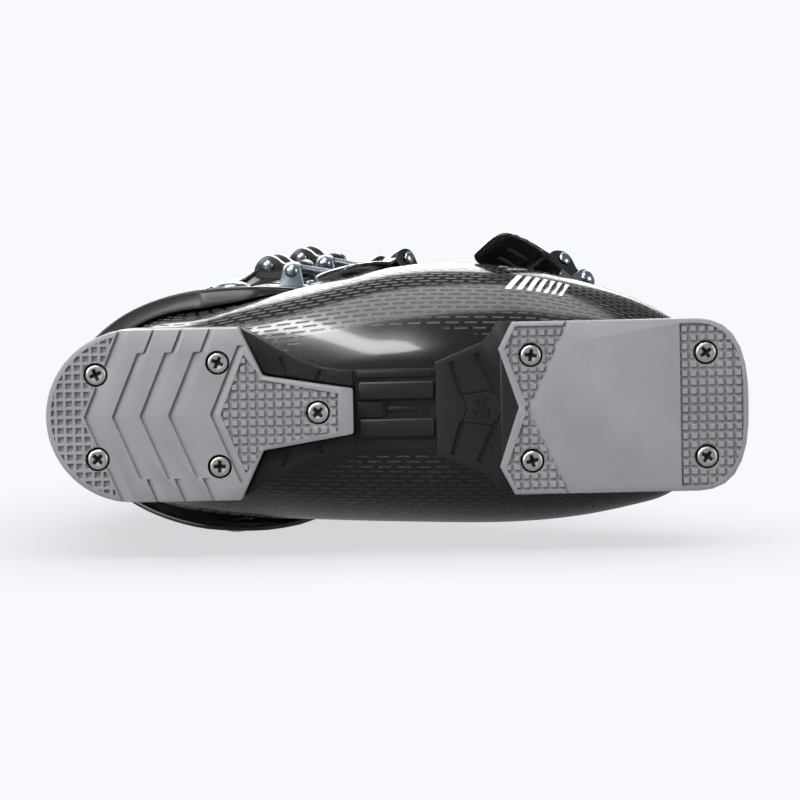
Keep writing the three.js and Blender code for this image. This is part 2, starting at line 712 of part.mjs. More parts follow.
// A toothed plate on the far flap. The first tooth holds the bail's wire.
function ladder(buckle) {
  const frame = surfaceFrame(buckle, 1);
  const [start, end] = [-9, 20];
  const width = [-ladderHalfWidth, ladderHalfWidth];
  const plate = crosswise(frame, [[start, -9], [end, -9], [end, 9], [start, 9]], ...width);
  const top = ladderTop + toothHeight;
  const teeth = [-wireRadius - hookPlay, 8.5].map((face) =>
    crosswise(frame, [[face - 4.4, -6], [face, -6], [face, top], [face - 1, top], [face - 4.4, 2]], ...width),
  );
  const bed = lofted(buckle.rows, slip);
  return cut(join(plate.intersect(lofted(buckle.rows, ladderTop)), ...teeth), bed, rivetHoles(buckle));
}

// ---- Materials ----
const material = (color, roughness, metalness = 0) =>
  new THREE.MeshStandardMaterial({ color, roughness, metalness });
const glossyBlack = material(0x141416, 0.18);
const satinBlack = material(0x26272a, 0.4);
const paleGrey = material(0x9a9a9f, 0.6);
const zinc = material(0xb8b7b0, 0.35, 0.9);
const steel = material(0x98a3ad, 0.25, 1);
const leverBlack = material(0x1b1b1e, 0.3, 0.5);
const fabric = material(0x34363a, 0.9);
const webbing = material(0x1d1e20, 0.85);
const foam = material(0x55585c, 0.9);

// ---- The boot ----
const boot = new THREE.Group();
const lowerPart = new THREE.Group();
const upperPart = new THREE.Group();
boot.add(lowerPart, upperPart);

function place(parent, name, solid, look) {
  const mesh = new THREE.Mesh(geometryOf(largest(solid)), look);
  mesh.name = name;
  parent.add(mesh);
}

place(lowerPart, "lower_shell", lowerShell(), glossyBlack);
place(lowerPart, "toe_sole_plate", toePlate(), paleGrey);
place(lowerPart, "heel_sole_plate", heelPlate(), paleGrey);
toeScrews.forEach((spot, i) => {
  place(lowerPart, `toe_screw_${i + 1}`, screw(spot, toePlateThickness), zinc);
});
heelScrews.forEach((spot, i) => {
  place(lowerPart, `heel_screw_${i + 1}`, screw(spot, heelPlateThickness), zinc);
});
place(lowerPart, "throat_gaiter", throatGaiter(), satinBlack);
place(lowerPart, "bootboard", bootboard(), foam);
place(lowerPart, "insole", insole(), foam);
place(lowerPart, "liner_foot", linerFoot(), fabric);
place(lowerPart, "cuff_pivot_lateral", cuffPivot(-1, 42, 49), steel);
place(lowerPart, "cuff_pivot_medial", cuffPivot(1, 48.5, 55), steel);
place(upperPart, "cuff", cuff(), satinBlack);
place(upperPart, "liner_shaft", linerShaft(), fabric);
place(upperPart, "liner_tongue", linerTongue(), fabric);
place(upperPart, "power_strap", powerStrap(), webbing);

for (const buckle of buckles) {
  const { name, rows } = buckle;
  const side = rows === shellRows ? lowerPart : upperPart;
  place(side, `${name}_bracket`, bracket(buckle), steel);
  place(side, `${name}_bracket_rivet`, rivet(surfaceFrame(buckle, 0), bracketRivetAt, bracketPlate), steel);
  place(side, `${name}_ladder`, ladder(buckle), steel);
  place(side, `${name}_ladder_rivet`, rivet(surfaceFrame(buckle, 1), ladderRivetAt, ladderTop), steel);
  place(side, `${name}_pin_1`, leverPin(buckle, 1), steel);
  place(side, `${name}_pin_2`, leverPin(buckle, -1), steel);
  place(side, `${name}_lever`, lever(buckle), leverBlack);
  place(side, `${name}_bail`, bail(buckle), steel);
}

const bounds = new THREE.Box3().setFromObject(boot);
const middle = bounds.getCenter(new THREE.Vector3());
boot.position.set(-middle.x, -middle.y, -bounds.min.z);

export default boot;
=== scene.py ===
# A right alpine ski boot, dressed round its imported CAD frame.
import bpy
import math
from mathutils import Matrix, Vector


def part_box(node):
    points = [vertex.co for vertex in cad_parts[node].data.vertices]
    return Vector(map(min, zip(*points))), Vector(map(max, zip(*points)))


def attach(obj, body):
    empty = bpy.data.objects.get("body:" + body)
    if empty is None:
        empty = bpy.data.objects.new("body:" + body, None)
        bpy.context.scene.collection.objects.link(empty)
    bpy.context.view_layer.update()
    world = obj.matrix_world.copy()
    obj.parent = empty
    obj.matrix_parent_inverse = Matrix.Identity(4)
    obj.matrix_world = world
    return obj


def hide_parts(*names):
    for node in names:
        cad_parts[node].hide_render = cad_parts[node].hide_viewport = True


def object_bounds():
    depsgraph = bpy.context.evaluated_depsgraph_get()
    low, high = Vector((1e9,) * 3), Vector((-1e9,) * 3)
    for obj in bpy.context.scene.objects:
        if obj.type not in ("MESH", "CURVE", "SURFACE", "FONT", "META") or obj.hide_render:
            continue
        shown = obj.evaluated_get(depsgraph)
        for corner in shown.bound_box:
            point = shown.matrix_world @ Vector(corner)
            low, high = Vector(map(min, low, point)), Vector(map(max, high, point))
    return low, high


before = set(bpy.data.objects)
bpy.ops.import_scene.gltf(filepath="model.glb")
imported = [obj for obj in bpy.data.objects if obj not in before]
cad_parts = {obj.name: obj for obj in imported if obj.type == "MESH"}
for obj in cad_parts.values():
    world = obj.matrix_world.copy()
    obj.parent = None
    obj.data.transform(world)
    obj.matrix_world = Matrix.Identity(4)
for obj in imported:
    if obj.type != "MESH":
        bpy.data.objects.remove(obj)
cadLow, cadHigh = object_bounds()
scene = bpy.context.scene
scene.view_settings.view_transform = "Standard"

mm = 0.001
plateLow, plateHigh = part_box("toe_sole_plate")
centreX = (plateLow.x + plateHigh.x) / 2  # the sole's middle line
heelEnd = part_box("heel_sole_plate")[1].y  # the sole's heel end, from which "along" is counted


def spot(x, along, up):
    # a place on the boot in millimetres, as a point of the frame
    return Vector((centreX + x * mm, heelEnd - along * mm, up * mm))


# tools
def onlyThis(obj):
    if bpy.context.object and bpy.context.object.mode != "OBJECT":
        bpy.ops.object.mode_set(mode="OBJECT")
    bpy.ops.object.select_all(action="DESELECT")
    obj.select_set(True)
    bpy.context.view_layer.objects.active = obj


def editAll(obj):
    onlyThis(obj)
    bpy.ops.object.mode_set(mode="EDIT")
    bpy.ops.mesh.select_all(action="SELECT")


def leaveEdit():
    bpy.ops.object.mode_set(mode="OBJECT")


def settle(obj):
    # puts the piece's place into its mesh
    onlyThis(obj)
    bpy.ops.object.transform_apply(location=True, rotation=True, scale=True)
    return obj


def applied(obj, kind, **settings):
    onlyThis(obj)
    step = obj.modifiers.new(kind.title(), kind)
    for key, value in settings.items():
        setattr(step, key, value)
    bpy.ops.object.modifier_apply(modifier=step.name)
    return obj


def bevelled(obj, width, segments=2, angle=32):
    return applied(obj, "BEVEL", width=width * mm, segments=segments, limit_method="ANGLE",
                   angle_limit=math.radians(angle), use_clamp_overlap=True, harden_normals=False)


def combined(obj, tool, how="DIFFERENCE"):
    applied(obj, "BOOLEAN", object=tool, operation=how, solver="EXACT")
    bpy.data.objects.remove(tool)
    return obj


def joined(first, others):
    onlyThis(first)
    for other in others:
        other.select_set(True)
    bpy.ops.object.join()
    return first


def smoothShade(obj, angle=35):
    onlyThis(obj)
    bpy.ops.object.shade_smooth_by_angle(angle=math.radians(angle))
    return obj


def tidyMesh(obj, distance=0.00002):
    editAll(obj)
    bpy.ops.mesh.remove_doubles(threshold=distance)
    bpy.ops.mesh.normals_make_consistent(inside=False)
    leaveEdit()
    return obj


def slab(name, ring, push):
    # a circle primitive laid out on a ring of points, filled and extruded
    bpy.ops.object.select_all(action="DESELECT")
    bpy.ops.mesh.primitive_circle_add(vertices=len(ring), radius=1, fill_type="NGON")
    obj = bpy.context.object
    obj.name = name
    for vert, place in zip(obj.data.vertices, ring):
        vert.co = place
    editAll(obj)
    bpy.ops.mesh.extrude_region_move(TRANSFORM_OT_translate={"value": tuple(push)})
    bpy.ops.mesh.select_all(action="SELECT")
    bpy.ops.mesh.normals_make_consistent(inside=False)
    leaveEdit()
    return settle(obj)


def planSlab(name, outline, low, high):
    # a plan outline of [x, along] points between two heights
    ring = [spot(x, along, low) for x, along in outline]
    return slab(name, ring, Vector((0, 0, (high - low) * mm)))


def meshPiece(name, places, faces, uvs=()):
    mesh = bpy.data.meshes.new(name)
    mesh.from_pydata(places, [], faces)
    if uvs:
        layer = mesh.uv_layers.new(name="surface")
        for item, uv in zip(layer.data, uvs):
            item.uv = uv
    obj = bpy.data.objects.new(name, mesh)
    scene.collection.objects.link(obj)
    return obj


def skinned(name, rings):
    # a closed solid through rings of equal length
    count = len(rings[0])
    places = [p for ring in rings for p in ring]
    faces = []
    for i in range(len(rings) - 1):
        for k in range(count):
            a, b = i * count + k, i * count + (k + 1) % count
            faces.append((a, b, b + count, a + count))
    faces.append(tuple(reversed(range(count))))
    faces.append(tuple((len(rings) - 1) * count + k for k in range(count)))
    return tidyMesh(meshPiece(name, places, faces))


def boredAt(obj, spots, radius):
    # round holes from below at [x, along] places
    for x, along in spots:
        bpy.ops.object.select_all(action="DESELECT")
        bpy.ops.mesh.primitive_cylinder_add(vertices=40, radius=radius * mm, depth=9 * mm,
                                            location=spot(x, along, 0))
        combined(obj, settle(bpy.context.object))
    return obj


def between4(p, q, r, s, t):
    # a smooth curve through q and r, at t from 0 to 1
    return 0.5 * (2 * q + (r - p) * t + (2 * p - 5 * q + 4 * r - s) * t * t
                  + (3 * q - p - 3 * r + s) * t ** 3)


def hoop(centre, side, other, radius, sides):
    # a ring of points round a centre
    return [centre + (side * math.cos(t) + other * math.sin(t)) * radius * mm
            for t in (2 * math.pi * k / sides for k in range(sides))]


def rectangle(left, right, start, end):
    return [(left, start), (right, start), (right, end), (left, end)]


def mirrored(side):
    return side + [(-x, along) for x, along in reversed(side) if x > 0]


def dress(obj, material, slotName, body, *nodes):
    obj.data.materials.clear()
    obj.data.materials.append(material)
    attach(obj, body)
    if nodes:
        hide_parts(*nodes)
    return obj


# shader effects
def newGroup(name, inputs, outputs):
    group = bpy.data.node_groups.new(name, "ShaderNodeTree")
    for label, kind, value in inputs:
        socket = group.interface.new_socket(label, in_out="INPUT", socket_type=kind)
        if value is not None:
            socket.default_value = value
    for label, kind in outputs:
        group.interface.new_socket(label, in_out="OUTPUT", socket_type=kind)
    return group, group.nodes.new("NodeGroupInput"), group.nodes.new("NodeGroupOutput")


def calc(tree, how, a, b=None):
    node = tree.nodes.new("ShaderNodeMath")
    node.operation = how
    for socket, value in zip(node.inputs, (a, b)):
        if value is None:
            continue
        if isinstance(value, (int, float)):
            socket.default_value = value
        else:
            tree.links.new(value, socket)
    return node.outputs[0]


def noiseOf(tree, vector, scale, detail=3, roughness=0.5):
    node = tree.nodes.new("ShaderNodeTexNoise")
    node.inputs["Scale"].default_value = scale
    node.inputs["Detail"].default_value = detail
    node.inputs["Roughness"].default_value = roughness
    tree.links.new(vector, node.inputs["Vector"])
    return node.outputs["Fac"]


def mixOf(tree, factor, a, b):
    node = tree.nodes.new("ShaderNodeMix")
    node.data_type = "RGBA"
    for socket, value in ((node.inputs[0], factor), (node.inputs[6], a), (node.inputs[7], b)):
        if isinstance(value, (int, float, tuple)):
            socket.default_value = value
        else:
            tree.links.new(value, socket)
    return node.outputs[2]


def grainGroup():
    # fine moulded grain: a height for bump, a speckle and a slow stain
    group, given, made = newGroup(
        "mouldedGrain",
        [("Vector", "NodeSocketVector", None), ("Fineness", "NodeSocketFloat", 1.0)],
        [("Height", "NodeSocketFloat"), ("Speckle", "NodeSocketFloat"), ("Stain", "NodeSocketFloat")],
    )
    scaled = group.nodes.new("ShaderNodeVectorMath")
    scaled.operation = "SCALE"
    group.links.new(given.outputs["Vector"], scaled.inputs[0])
    group.links.new(given.outputs["Fineness"], scaled.inputs["Scale"])
    vector = scaled.outputs[0]
    group.links.new(noiseOf(group, vector, 1500, 2), made.inputs["Height"])
    group.links.new(noiseOf(group, vector, 2600, 1), made.inputs["Speckle"])
    group.links.new(noiseOf(group, vector, 45, 4, 0.6), made.inputs["Stain"])
    return group


def dashGroup():
    # short staggered dashes in rows; the vector's x runs along a row, in millimetres
    group, given, made = newGroup(
        "moulded dashes",
        [("Vector", "NodeSocketVector", None), ("Pitch", "NodeSocketFloat", 5.8),
         ("Length", "NodeSocketFloat", 0.7), ("Row", "NodeSocketFloat", 2.0),
         ("Width", "NodeSocketFloat", 0.3)],
        [("Dash", "NodeSocketFloat")],
    )
    apart = group.nodes.new("ShaderNodeSeparateXYZ")
    group.links.new(given.outputs["Vector"], apart.inputs[0])
    across = calc(group, "DIVIDE", apart.outputs[1], given.outputs["Row"])
    rowNumber = calc(group, "FLOOR", across)
    rowPlace = calc(group, "ABSOLUTE", calc(group, "SUBTRACT", calc(group, "FRACT", across), 0.5))
    shifted = calc(group, "ADD", calc(group, "DIVIDE", apart.outputs[0], given.outputs["Pitch"]),
                   calc(group, "MULTIPLY", rowNumber, 0.5))
    runPlace = calc(group, "ABSOLUTE", calc(group, "SUBTRACT", calc(group, "FRACT", shifted), 0.5))

    def soft(value, limit, blur):
        node = group.nodes.new("ShaderNodeMapRange")
        node.interpolation_type = "SMOOTHSTEP"
        half = calc(group, "MULTIPLY", limit, 0.5)
        group.links.new(value, node.inputs["Value"])
        group.links.new(calc(group, "SUBTRACT", half, blur), node.inputs["From Min"])
        group.links.new(calc(group, "ADD", half, blur), node.inputs["From Max"])
        node.inputs["To Min"].default_value = 1
        node.inputs["To Max"].default_value = 0
        return node.outputs["Result"]

    mask = calc(group, "MULTIPLY", soft(rowPlace, given.outputs["Width"], 0.06),
                soft(runPlace, given.outputs["Length"], 0.02))
    group.links.new(mask, made.inputs["Dash"])
    return group


def weaveGroup():
    # crossing threads, from a vector in millimetres
    group, given, made = newGroup(
        "woven threads",
        [("Vector", "NodeSocketVector", None), ("Threads", "NodeSocketFloat", 1.0)],
        [("Height", "NodeSocketFloat")],
    )
    scaled = group.nodes.new("ShaderNodeVectorMath")
    scaled.operation = "SCALE"
    group.links.new(given.outputs["Vector"], scaled.inputs[0])
    group.links.new(given.outputs["Threads"], scaled.inputs["Scale"])
    apart = group.nodes.new("ShaderNodeSeparateXYZ")
    group.links.new(scaled.outputs[0], apart.inputs[0])
    a = calc(group, "SINE", calc(group, "MULTIPLY", apart.outputs[0], 2 * math.pi))
    b = calc(group, "SINE", calc(group, "MULTIPLY", apart.outputs[1], 2 * math.pi))
    over = calc(group, "MULTIPLY", a, b)
    loose = noiseOf(group, scaled.outputs[0], 0.35, 3)
    height = calc(group, "ADD", calc(group, "MULTIPLY", over, 0.5), loose)
    group.links.new(height, made.inputs["Height"])
    return group


grain = grainGroup()
dashes = dashGroup()
weave = weaveGroup()


def placed(tree, group, **values):
    node = tree.nodes.new("ShaderNodeGroup")
    node.node_tree = group
    for key, value in values.items():
        node.inputs[key].default_value = value
    return node


def newMaterial(name, color, roughness, metallic=0.0, coat=0.0, sheen=0.0):
    material = bpy.data.materials.new(name)
    material.use_nodes = True
    tree = material.node_tree
    shader = tree.nodes["Principled BSDF"]
    shader.inputs["Base Color"].default_value = (*color, 1)
    shader.inputs["Roughness"].default_value = roughness
    shader.inputs["Metallic"].default_value = metallic
    shader.inputs["Coat Weight"].default_value = coat
    shader.inputs["Coat Roughness"].default_value = 0.05
    shader.inputs["Specular IOR Level"].default_value = 0.5
    shader.inputs["Sheen Weight"].default_value = sheen
    return material, tree, shader


def objectPlace(tree):
    return tree.nodes.new("ShaderNodeTexCoord").outputs["Object"]


def bumped(tree, shader, height, distance):
    bump = tree.nodes.new("ShaderNodeBump")
    bump.inputs["Distance"].default_value = distance
    bump.inputs["Strength"].default_value = 1.0
    tree.links.new(height, bump.inputs["Height"])
    tree.links.new(bump.outputs["Normal"], shader.inputs["Normal"])


def grainyPlastic(name, color, lighter, roughness, fineness=1.0, depth=0.00003, coat=0.0):
    material, tree, shader = newMaterial(name, color, roughness, coat=coat)
    node = placed(tree, grain, Fineness=fineness)
    tree.links.new(objectPlace(tree), node.inputs["Vector"])
    stain = mixOf(tree, node.outputs["Stain"], (*color, 1), (*lighter, 1))
    speckled = mixOf(tree, calc(tree, "MULTIPLY", node.outputs["Speckle"], 0.5), stain, (*lighter, 1))
    tree.links.new(speckled, shader.inputs["Base Color"])
    rough = calc(tree, "ADD", calc(tree, "MULTIPLY", node.outputs["Stain"], 0.16), roughness - 0.08)
    tree.links.new(rough, shader.inputs["Roughness"])
    bumped(tree, shader, node.outputs["Height"], depth)
    return material


def metal(name, color, roughness, depth=0.00001, fineness=0.7):
    material, tree, shader = newMaterial(name, color, roughness, metallic=1)
    node = placed(tree, grain, Fineness=fineness)
    tree.links.new(objectPlace(tree), node.inputs["Vector"])
    tint = mixOf(tree, node.outputs["Stain"], (*color, 1), (*(c * 0.72 for c in color), 1))
    tree.links.new(tint, shader.inputs["Base Color"])
    rough = calc(tree, "ADD", calc(tree, "MULTIPLY", node.outputs["Stain"], 0.2), roughness - 0.08)
    tree.links.new(rough, shader.inputs["Roughness"])
    bumped(tree, shader, node.outputs["Height"], depth)
    return material


glossLook = {"color": (0.006, 0.006, 0.0065), "dash": (0.085, 0.085, 0.088), "roughness": 0.16,
             "dashDull": 0.4, "coat": 0.4, "smear": 0.06, "depth": 0.0004}


def glossShell():
    # polished plastic with rows of dashes where the "dashAmount" attribute says
    look = glossLook
    material, tree, shader = newMaterial("shellGloss", look["color"], look["roughness"], coat=look["coat"])
    place = tree.nodes.new("ShaderNodeUVMap")
    place.uv_map = "surface"
    node = placed(tree, dashes)
    tree.links.new(place.outputs[0], node.inputs["Vector"])
    amount = tree.nodes.new("ShaderNodeAttribute")
    amount.attribute_name = "dashAmount"
    mask = calc(tree, "MULTIPLY", node.outputs["Dash"], amount.outputs["Fac"])
    tree.links.new(mixOf(tree, mask, (*look["color"], 1), (*look["dash"], 1)), shader.inputs["Base Color"])
    dull = calc(tree, "ADD", calc(tree, "MULTIPLY", mask, look["dashDull"]), look["roughness"])
    fine = placed(tree, grain, Fineness=0.3)
    tree.links.new(objectPlace(tree), fine.inputs["Vector"])
    rough = calc(tree, "ADD", dull, calc(tree, "MULTIPLY", fine.outputs["Stain"], look["smear"]))
    tree.links.new(rough, shader.inputs["Roughness"])
    coat = calc(tree, "SUBTRACT", look["coat"], calc(tree, "MULTIPLY", mask, look["coat"]))
    tree.links.new(coat, shader.inputs["Coat Weight"])
    bumped(tree, shader, calc(tree, "MULTIPLY", mask, -1), look["depth"])
    return material


def cloth(name, color, lighter, threads, depth, sheen=0.3):
    material, tree, shader = newMaterial(name, color, 0.85, sheen=sheen)
    shader.inputs["Sheen Roughness"].default_value = 0.6
    place = tree.nodes.new("ShaderNodeUVMap")
    place.uv_map = "surface"
    node = placed(tree, weave, Threads=threads)
    tree.links.new(place.outputs[0], node.inputs["Vector"])
    woven = mixOf(tree, node.outputs["Height"], (*color, 1), (*lighter, 1))
    tree.links.new(woven, shader.inputs["Base Color"])
    bumped(tree, shader, node.outputs["Height"], depth)
    return material


# each look: base colour, lighter colour, roughness, grain fineness, grain depth, coat
plastics = {
    "satin": ("satinBlack", (0.011, 0.011, 0.012), (0.018, 0.018, 0.019), 0.36, 1.0, 0.00001, 0.1),
    "chassis": ("chassisBlack", (0.007, 0.007, 0.0073), (0.013, 0.013, 0.0135), 0.42, 1.0, 0.00002),
    "sole": ("soleGrey", (0.215, 0.216, 0.228), (0.36, 0.361, 0.376), 0.5, 0.9, 0.00004),
    # ring: near-black, painted shade in the screw recesses and in the holes round the screw heads
    "ring": ("paintedRecessShade", (0.004, 0.004, 0.004), (0.008, 0.008, 0.008), 0.6),
    "lever": ("leverBlack", (0.008, 0.008, 0.009), (0.014, 0.014, 0.015), 0.22, 0.8, 0.00001, 0.3),
    "felt": ("insoleFelt", (0.05, 0.05, 0.055), (0.1, 0.1, 0.11), 0.9, 0.4, 0.0002),
    "board": ("boardFoam", (0.05, 0.05, 0.055), (0.09, 0.09, 0.1), 0.8, 0.5, 0.0001),
    "mark": ("markWhite", (0.75, 0.76, 0.78), (0.85, 0.86, 0.88), 0.4),
}
looks = {key: grainyPlastic(*values) for key, values in plastics.items()}
looks["shell"] = glossShell()
looks["zinc"] = metal("screwZinc", (0.86, 0.85, 0.80), 0.34)
looks["steel"] = metal("buckleSteel", (0.42, 0.47, 0.52), 0.2)
looks["liner"] = cloth("linerFabric", (0.022, 0.023, 0.026), (0.06, 0.062, 0.067), 0.9, 0.00015)
looks["webbing"] = cloth("strapWebbing", (0.010, 0.010, 0.011), (0.035, 0.035, 0.038), 0.6, 0.0003, 0.2)
print("materials made")

# camera, floor and lights
view = {"tilt": 3.8, "roll": -1.2, "distance": 1.3, "lens": 144.3, "aimUp": 4.46, "aimAside": 1.2}


def placeCamera():
    tilt = math.radians(view["tilt"])
    back = Vector((-math.sin(tilt), 0, -math.cos(tilt)))
    up = Vector((-math.cos(tilt), 0, math.sin(tilt)))
    right = Vector((0, -1, 0))
    aim = Vector((centreX, (heelEnd + plateLow.y) / 2, 0))
    aim += up * view["aimUp"] * mm + right * view["aimAside"] * mm
    turn = Matrix.Rotation(math.radians(view["roll"]), 3, back)
    axes = Matrix((turn @ right, turn @ up, back)).transposed()
    bpy.ops.object.camera_add()
    camera = bpy.context.object
    camera.name = "camera"
    camera.data.lens = view["lens"]
    camera.data.sensor_width = 36
    camera.data.clip_start, camera.data.clip_end = 0.05, 50
    camera.matrix_world = Matrix.Translation(aim + back * view["distance"]) @ axes.to_4x4()
    scene.camera = camera


placeCamera()
backdrop = {
    "color": (0.93, 0.947, 0.973), "shadow": 0.7, "shadowReach": 0.12, "shadowFrom": 0.35, "shadowTo": 0.97,
    "bounce": 0.3, "ambient": 0.22, "size": 8, "below": 0.0008, "beside": 0.0012,
}


def paper(name, sunken):
    # a pale glowing floor that shows only from its front, with a painted shadow that makes it darker close to
    # what stands on it
    material = bpy.data.materials.new(name)
    material.use_nodes = True
    tree = material.node_tree
    tree.nodes.clear()
    out = tree.nodes.new("ShaderNodeOutputMaterial")
    # ambient occlusion dims the glow near the boot: the painted shadow
    near = tree.nodes.new("ShaderNodeAmbientOcclusion")
    near.samples = 8
    near.inputs["Distance"].default_value = backdrop["shadowReach"]
    shade = tree.nodes.new("ShaderNodeMapRange")
    tree.links.new(near.outputs["AO"], shade.inputs["Value"])
    shade.inputs["From Min"].default_value = backdrop["shadowFrom"]
    shade.inputs["From Max"].default_value = backdrop["shadowTo"]
    shade.inputs["To Min"].default_value = backdrop["shadow"]
    shade.inputs["To Max"].default_value = 1.0
    path = tree.nodes.new("ShaderNodeLightPath").outputs["Is Camera Ray"]
    dim = calc(tree, "ADD", calc(tree, "MULTIPLY", path, 1 - backdrop["bounce"]), backdrop["bounce"])
    glow = tree.nodes.new("ShaderNodeEmission")
    glow.inputs["Color"].default_value = (*backdrop["color"], 1)
    tree.links.new(calc(tree, "MULTIPLY", shade.outputs["Result"], dim), glow.inputs["Strength"])
    clear = tree.nodes.new("ShaderNodeBsdfTransparent")
    mixed = tree.nodes.new("ShaderNodeMixShader")
    behind = tree.nodes.new("ShaderNodeNewGeometry").outputs["Backfacing"]
    if sunken:
        behind = calc(tree, "MAXIMUM", behind, calc(tree, "SUBTRACT", 1, path))
    tree.links.new(behind, mixed.inputs[0])
    tree.links.new(glow.outputs[0], mixed.inputs[1])
    tree.links.new(clear.outputs[0], mixed.inputs[2])
    tree.links.new(mixed.outputs[0], out.inputs["Surface"])
    return material


def addFloors():
    bpy.ops.object.select_all(action="DESELECT")
    bpy.ops.mesh.primitive_plane_add(size=backdrop["size"], location=(cadHigh.x + backdrop["beside"], 0, 0),
                                     rotation=(0, -math.pi / 2, 0))
    side = settle(bpy.context.object)
    side.name = "floorBeside"
    side.data.materials.append(paper("paperBeside", False))
    bpy.ops.mesh.primitive_plane_add(size=backdrop["size"], location=(0, 0, -backdrop["below"]))
    under = settle(bpy.context.object)
    under.name = "floorUnder"
    under.data.materials.append(paper("paperUnder", True))
    for floor in (side, under):
        floor.visible_shadow = False


addFloors()


# each light: its place, what it faces, width, height, power
boot, arch = (0, 0, 0.08), (-0.012, 0.028, 0.02)
lights = {
    "keyAbove": ((-1.2, 0.15, -0.25), boot, 0.8, 1.0, 10),
    "strip": ((-0.76, 0.35, -0.5), arch, 0.07, 1.28, 5),
    "sideHeel": ((-0.55, 1.1, -0.75), boot, 0.7, 0.9, 12),
    "topBack": ((-0.6, 0.2, 1.4), boot, 1.2, 1.0, 16),
    "toeSide": ((-0.2, -1.2, -0.35), boot, 0.8, 0.8, 7),
    "medialFill": ((0.9, 0.3, 0.9), boot, 1.0, 1.0, 14),
}


def addLight(name, place, towards, width, height, power):
    bpy.ops.object.light_add(type="AREA", location=place)
    lamp = bpy.context.object
    lamp.name = name
    lamp.data.shape = "RECTANGLE"
    lamp.data.size, lamp.data.size_y = width, height
    lamp.data.energy = power
    lamp.rotation_mode = "QUATERNION"
    lamp.rotation_quaternion = (Vector(towards) - Vector(place)).to_track_quat("-Z", "Y")


def setStudio():
    world = bpy.data.worlds.new("studio")
    scene.world = world
    world.use_nodes = True
    tree = world.node_tree
    tree.nodes.clear()
    out = tree.nodes.new("ShaderNodeOutputWorld")
    seen = tree.nodes.new("ShaderNodeBackground")
    seen.inputs["Color"].default_value = (*backdrop["color"], 1)
    cast = tree.nodes.new("ShaderNodeBackground")
    cast.inputs["Color"].default_value = (0.97, 0.98, 1.0, 1)
    cast.inputs["Strength"].default_value = backdrop["ambient"]
    mixed = tree.nodes.new("ShaderNodeMixShader")
    tree.links.new(tree.nodes.new("ShaderNodeLightPath").outputs["Is Camera Ray"], mixed.inputs[0])
    tree.links.new(cast.outputs[0], mixed.inputs[1])
    tree.links.new(seen.outputs[0], mixed.inputs[2])
    tree.links.new(mixed.outputs[0], out.inputs["Surface"])
    for name, values in lights.items():
        addLight(name, *values)


setStudio()
print("camera, floors and lights placed")

# sole plates
sole = {
    "half": 35.0, "relief": 1.5, "cell": 3.63, "rim": 0.7, "heelThickness": 12, "jogAt": 25.7, "jog": 2.6,
    "bore": 4.95, "clearing": 5.6, "block": 3.0, "blockTop": 1.9, "blockLow": 0.12,
}
heelChevrons = [(15.3, 20.8), (26.7, 31.9), (37.9, 43.8), (49.5, 55.9), (66.5, 70.4)]  # deep line, high line
darkLean, brightLean = 0.42, 0.40


def roundOutline(turns=20):
    half = sole["half"]
    arc = [(half * math.sin(t), half * (1 - math.cos(t)))
           for t in (math.pi / 2 * i / turns for i in range(turns + 1))]
    return mirrored(arc + [(half, 78.6), (15, 88), (9, 124.5)])


toeOutline = mirrored([(0, 192), (24, 184), (35, 189.7), (35, 265), (34.3, 270), (32.2, 275), (28.5, 279),
                       (23, 282), (16, 284), (8, 284.9), (2, 285)])


def chevronCutter(name, deep, high, deepLean, highLean, jog, reach=42):
    depth = sole["relief"]
    stations = [(reach, jog), (sole["jogAt"] + 0.01, jog), (sole["jogAt"], 0), (0.02, 0)]
    stations = stations + [(-x, j) for x, j in reversed(stations)]
    rings = []
    for x, shift in stations:
        a = deep + deepLean * abs(x) + shift
        b = high + highLean * abs(x)
        over = b + (b - a) / depth
        rings.append([spot(x, a, -1), spot(x, a, depth), spot(x, over, -1)])
    return skinned(name, rings)


def blockField(name, xs, alongs, size, top, low, high, zone):
    # truncated pyramids on a grid, trimmed to a zone
    pieces = []
    bpy.ops.object.select_all(action="DESELECT")
    for x in xs:
        for along in alongs:
            places = []
            for half, z in ((size / 2, low), (top / 2, high)):
                places.append([spot(x + i * half, along + j * half, z)
                               for i, j in ((-1, -1), (1, -1), (1, 1), (-1, 1))])
            pieces.append(places)
    verts = [p for places in pieces for ring in places for p in ring]
    faces = []
    for i in range(len(pieces)):
        b = i * 8
        faces += [(b, b + 1, b + 2, b + 3), (b + 7, b + 6, b + 5, b + 4)]
        faces += [(b + k, b + 4 + k, b + 4 + (k + 1) % 4, b + (k + 1) % 4) for k in range(4)]
    return combined(tidyMesh(meshPiece(name, verts, faces), 0.000001), zone, "INTERSECT")


def steps(start, stop, pitch):
    count = int((stop - start) / pitch) + 1
    return [start + pitch * i for i in range(count)]


heelScrews = [(17.2, 20.5), (-17.2, 20.5), (21.1, 70), (-21.1, 70), (0, 110.3)]
toeScrews = [(21.5, 197), (-21.5, 197), (21.2, 268), (-21.2, 268)]


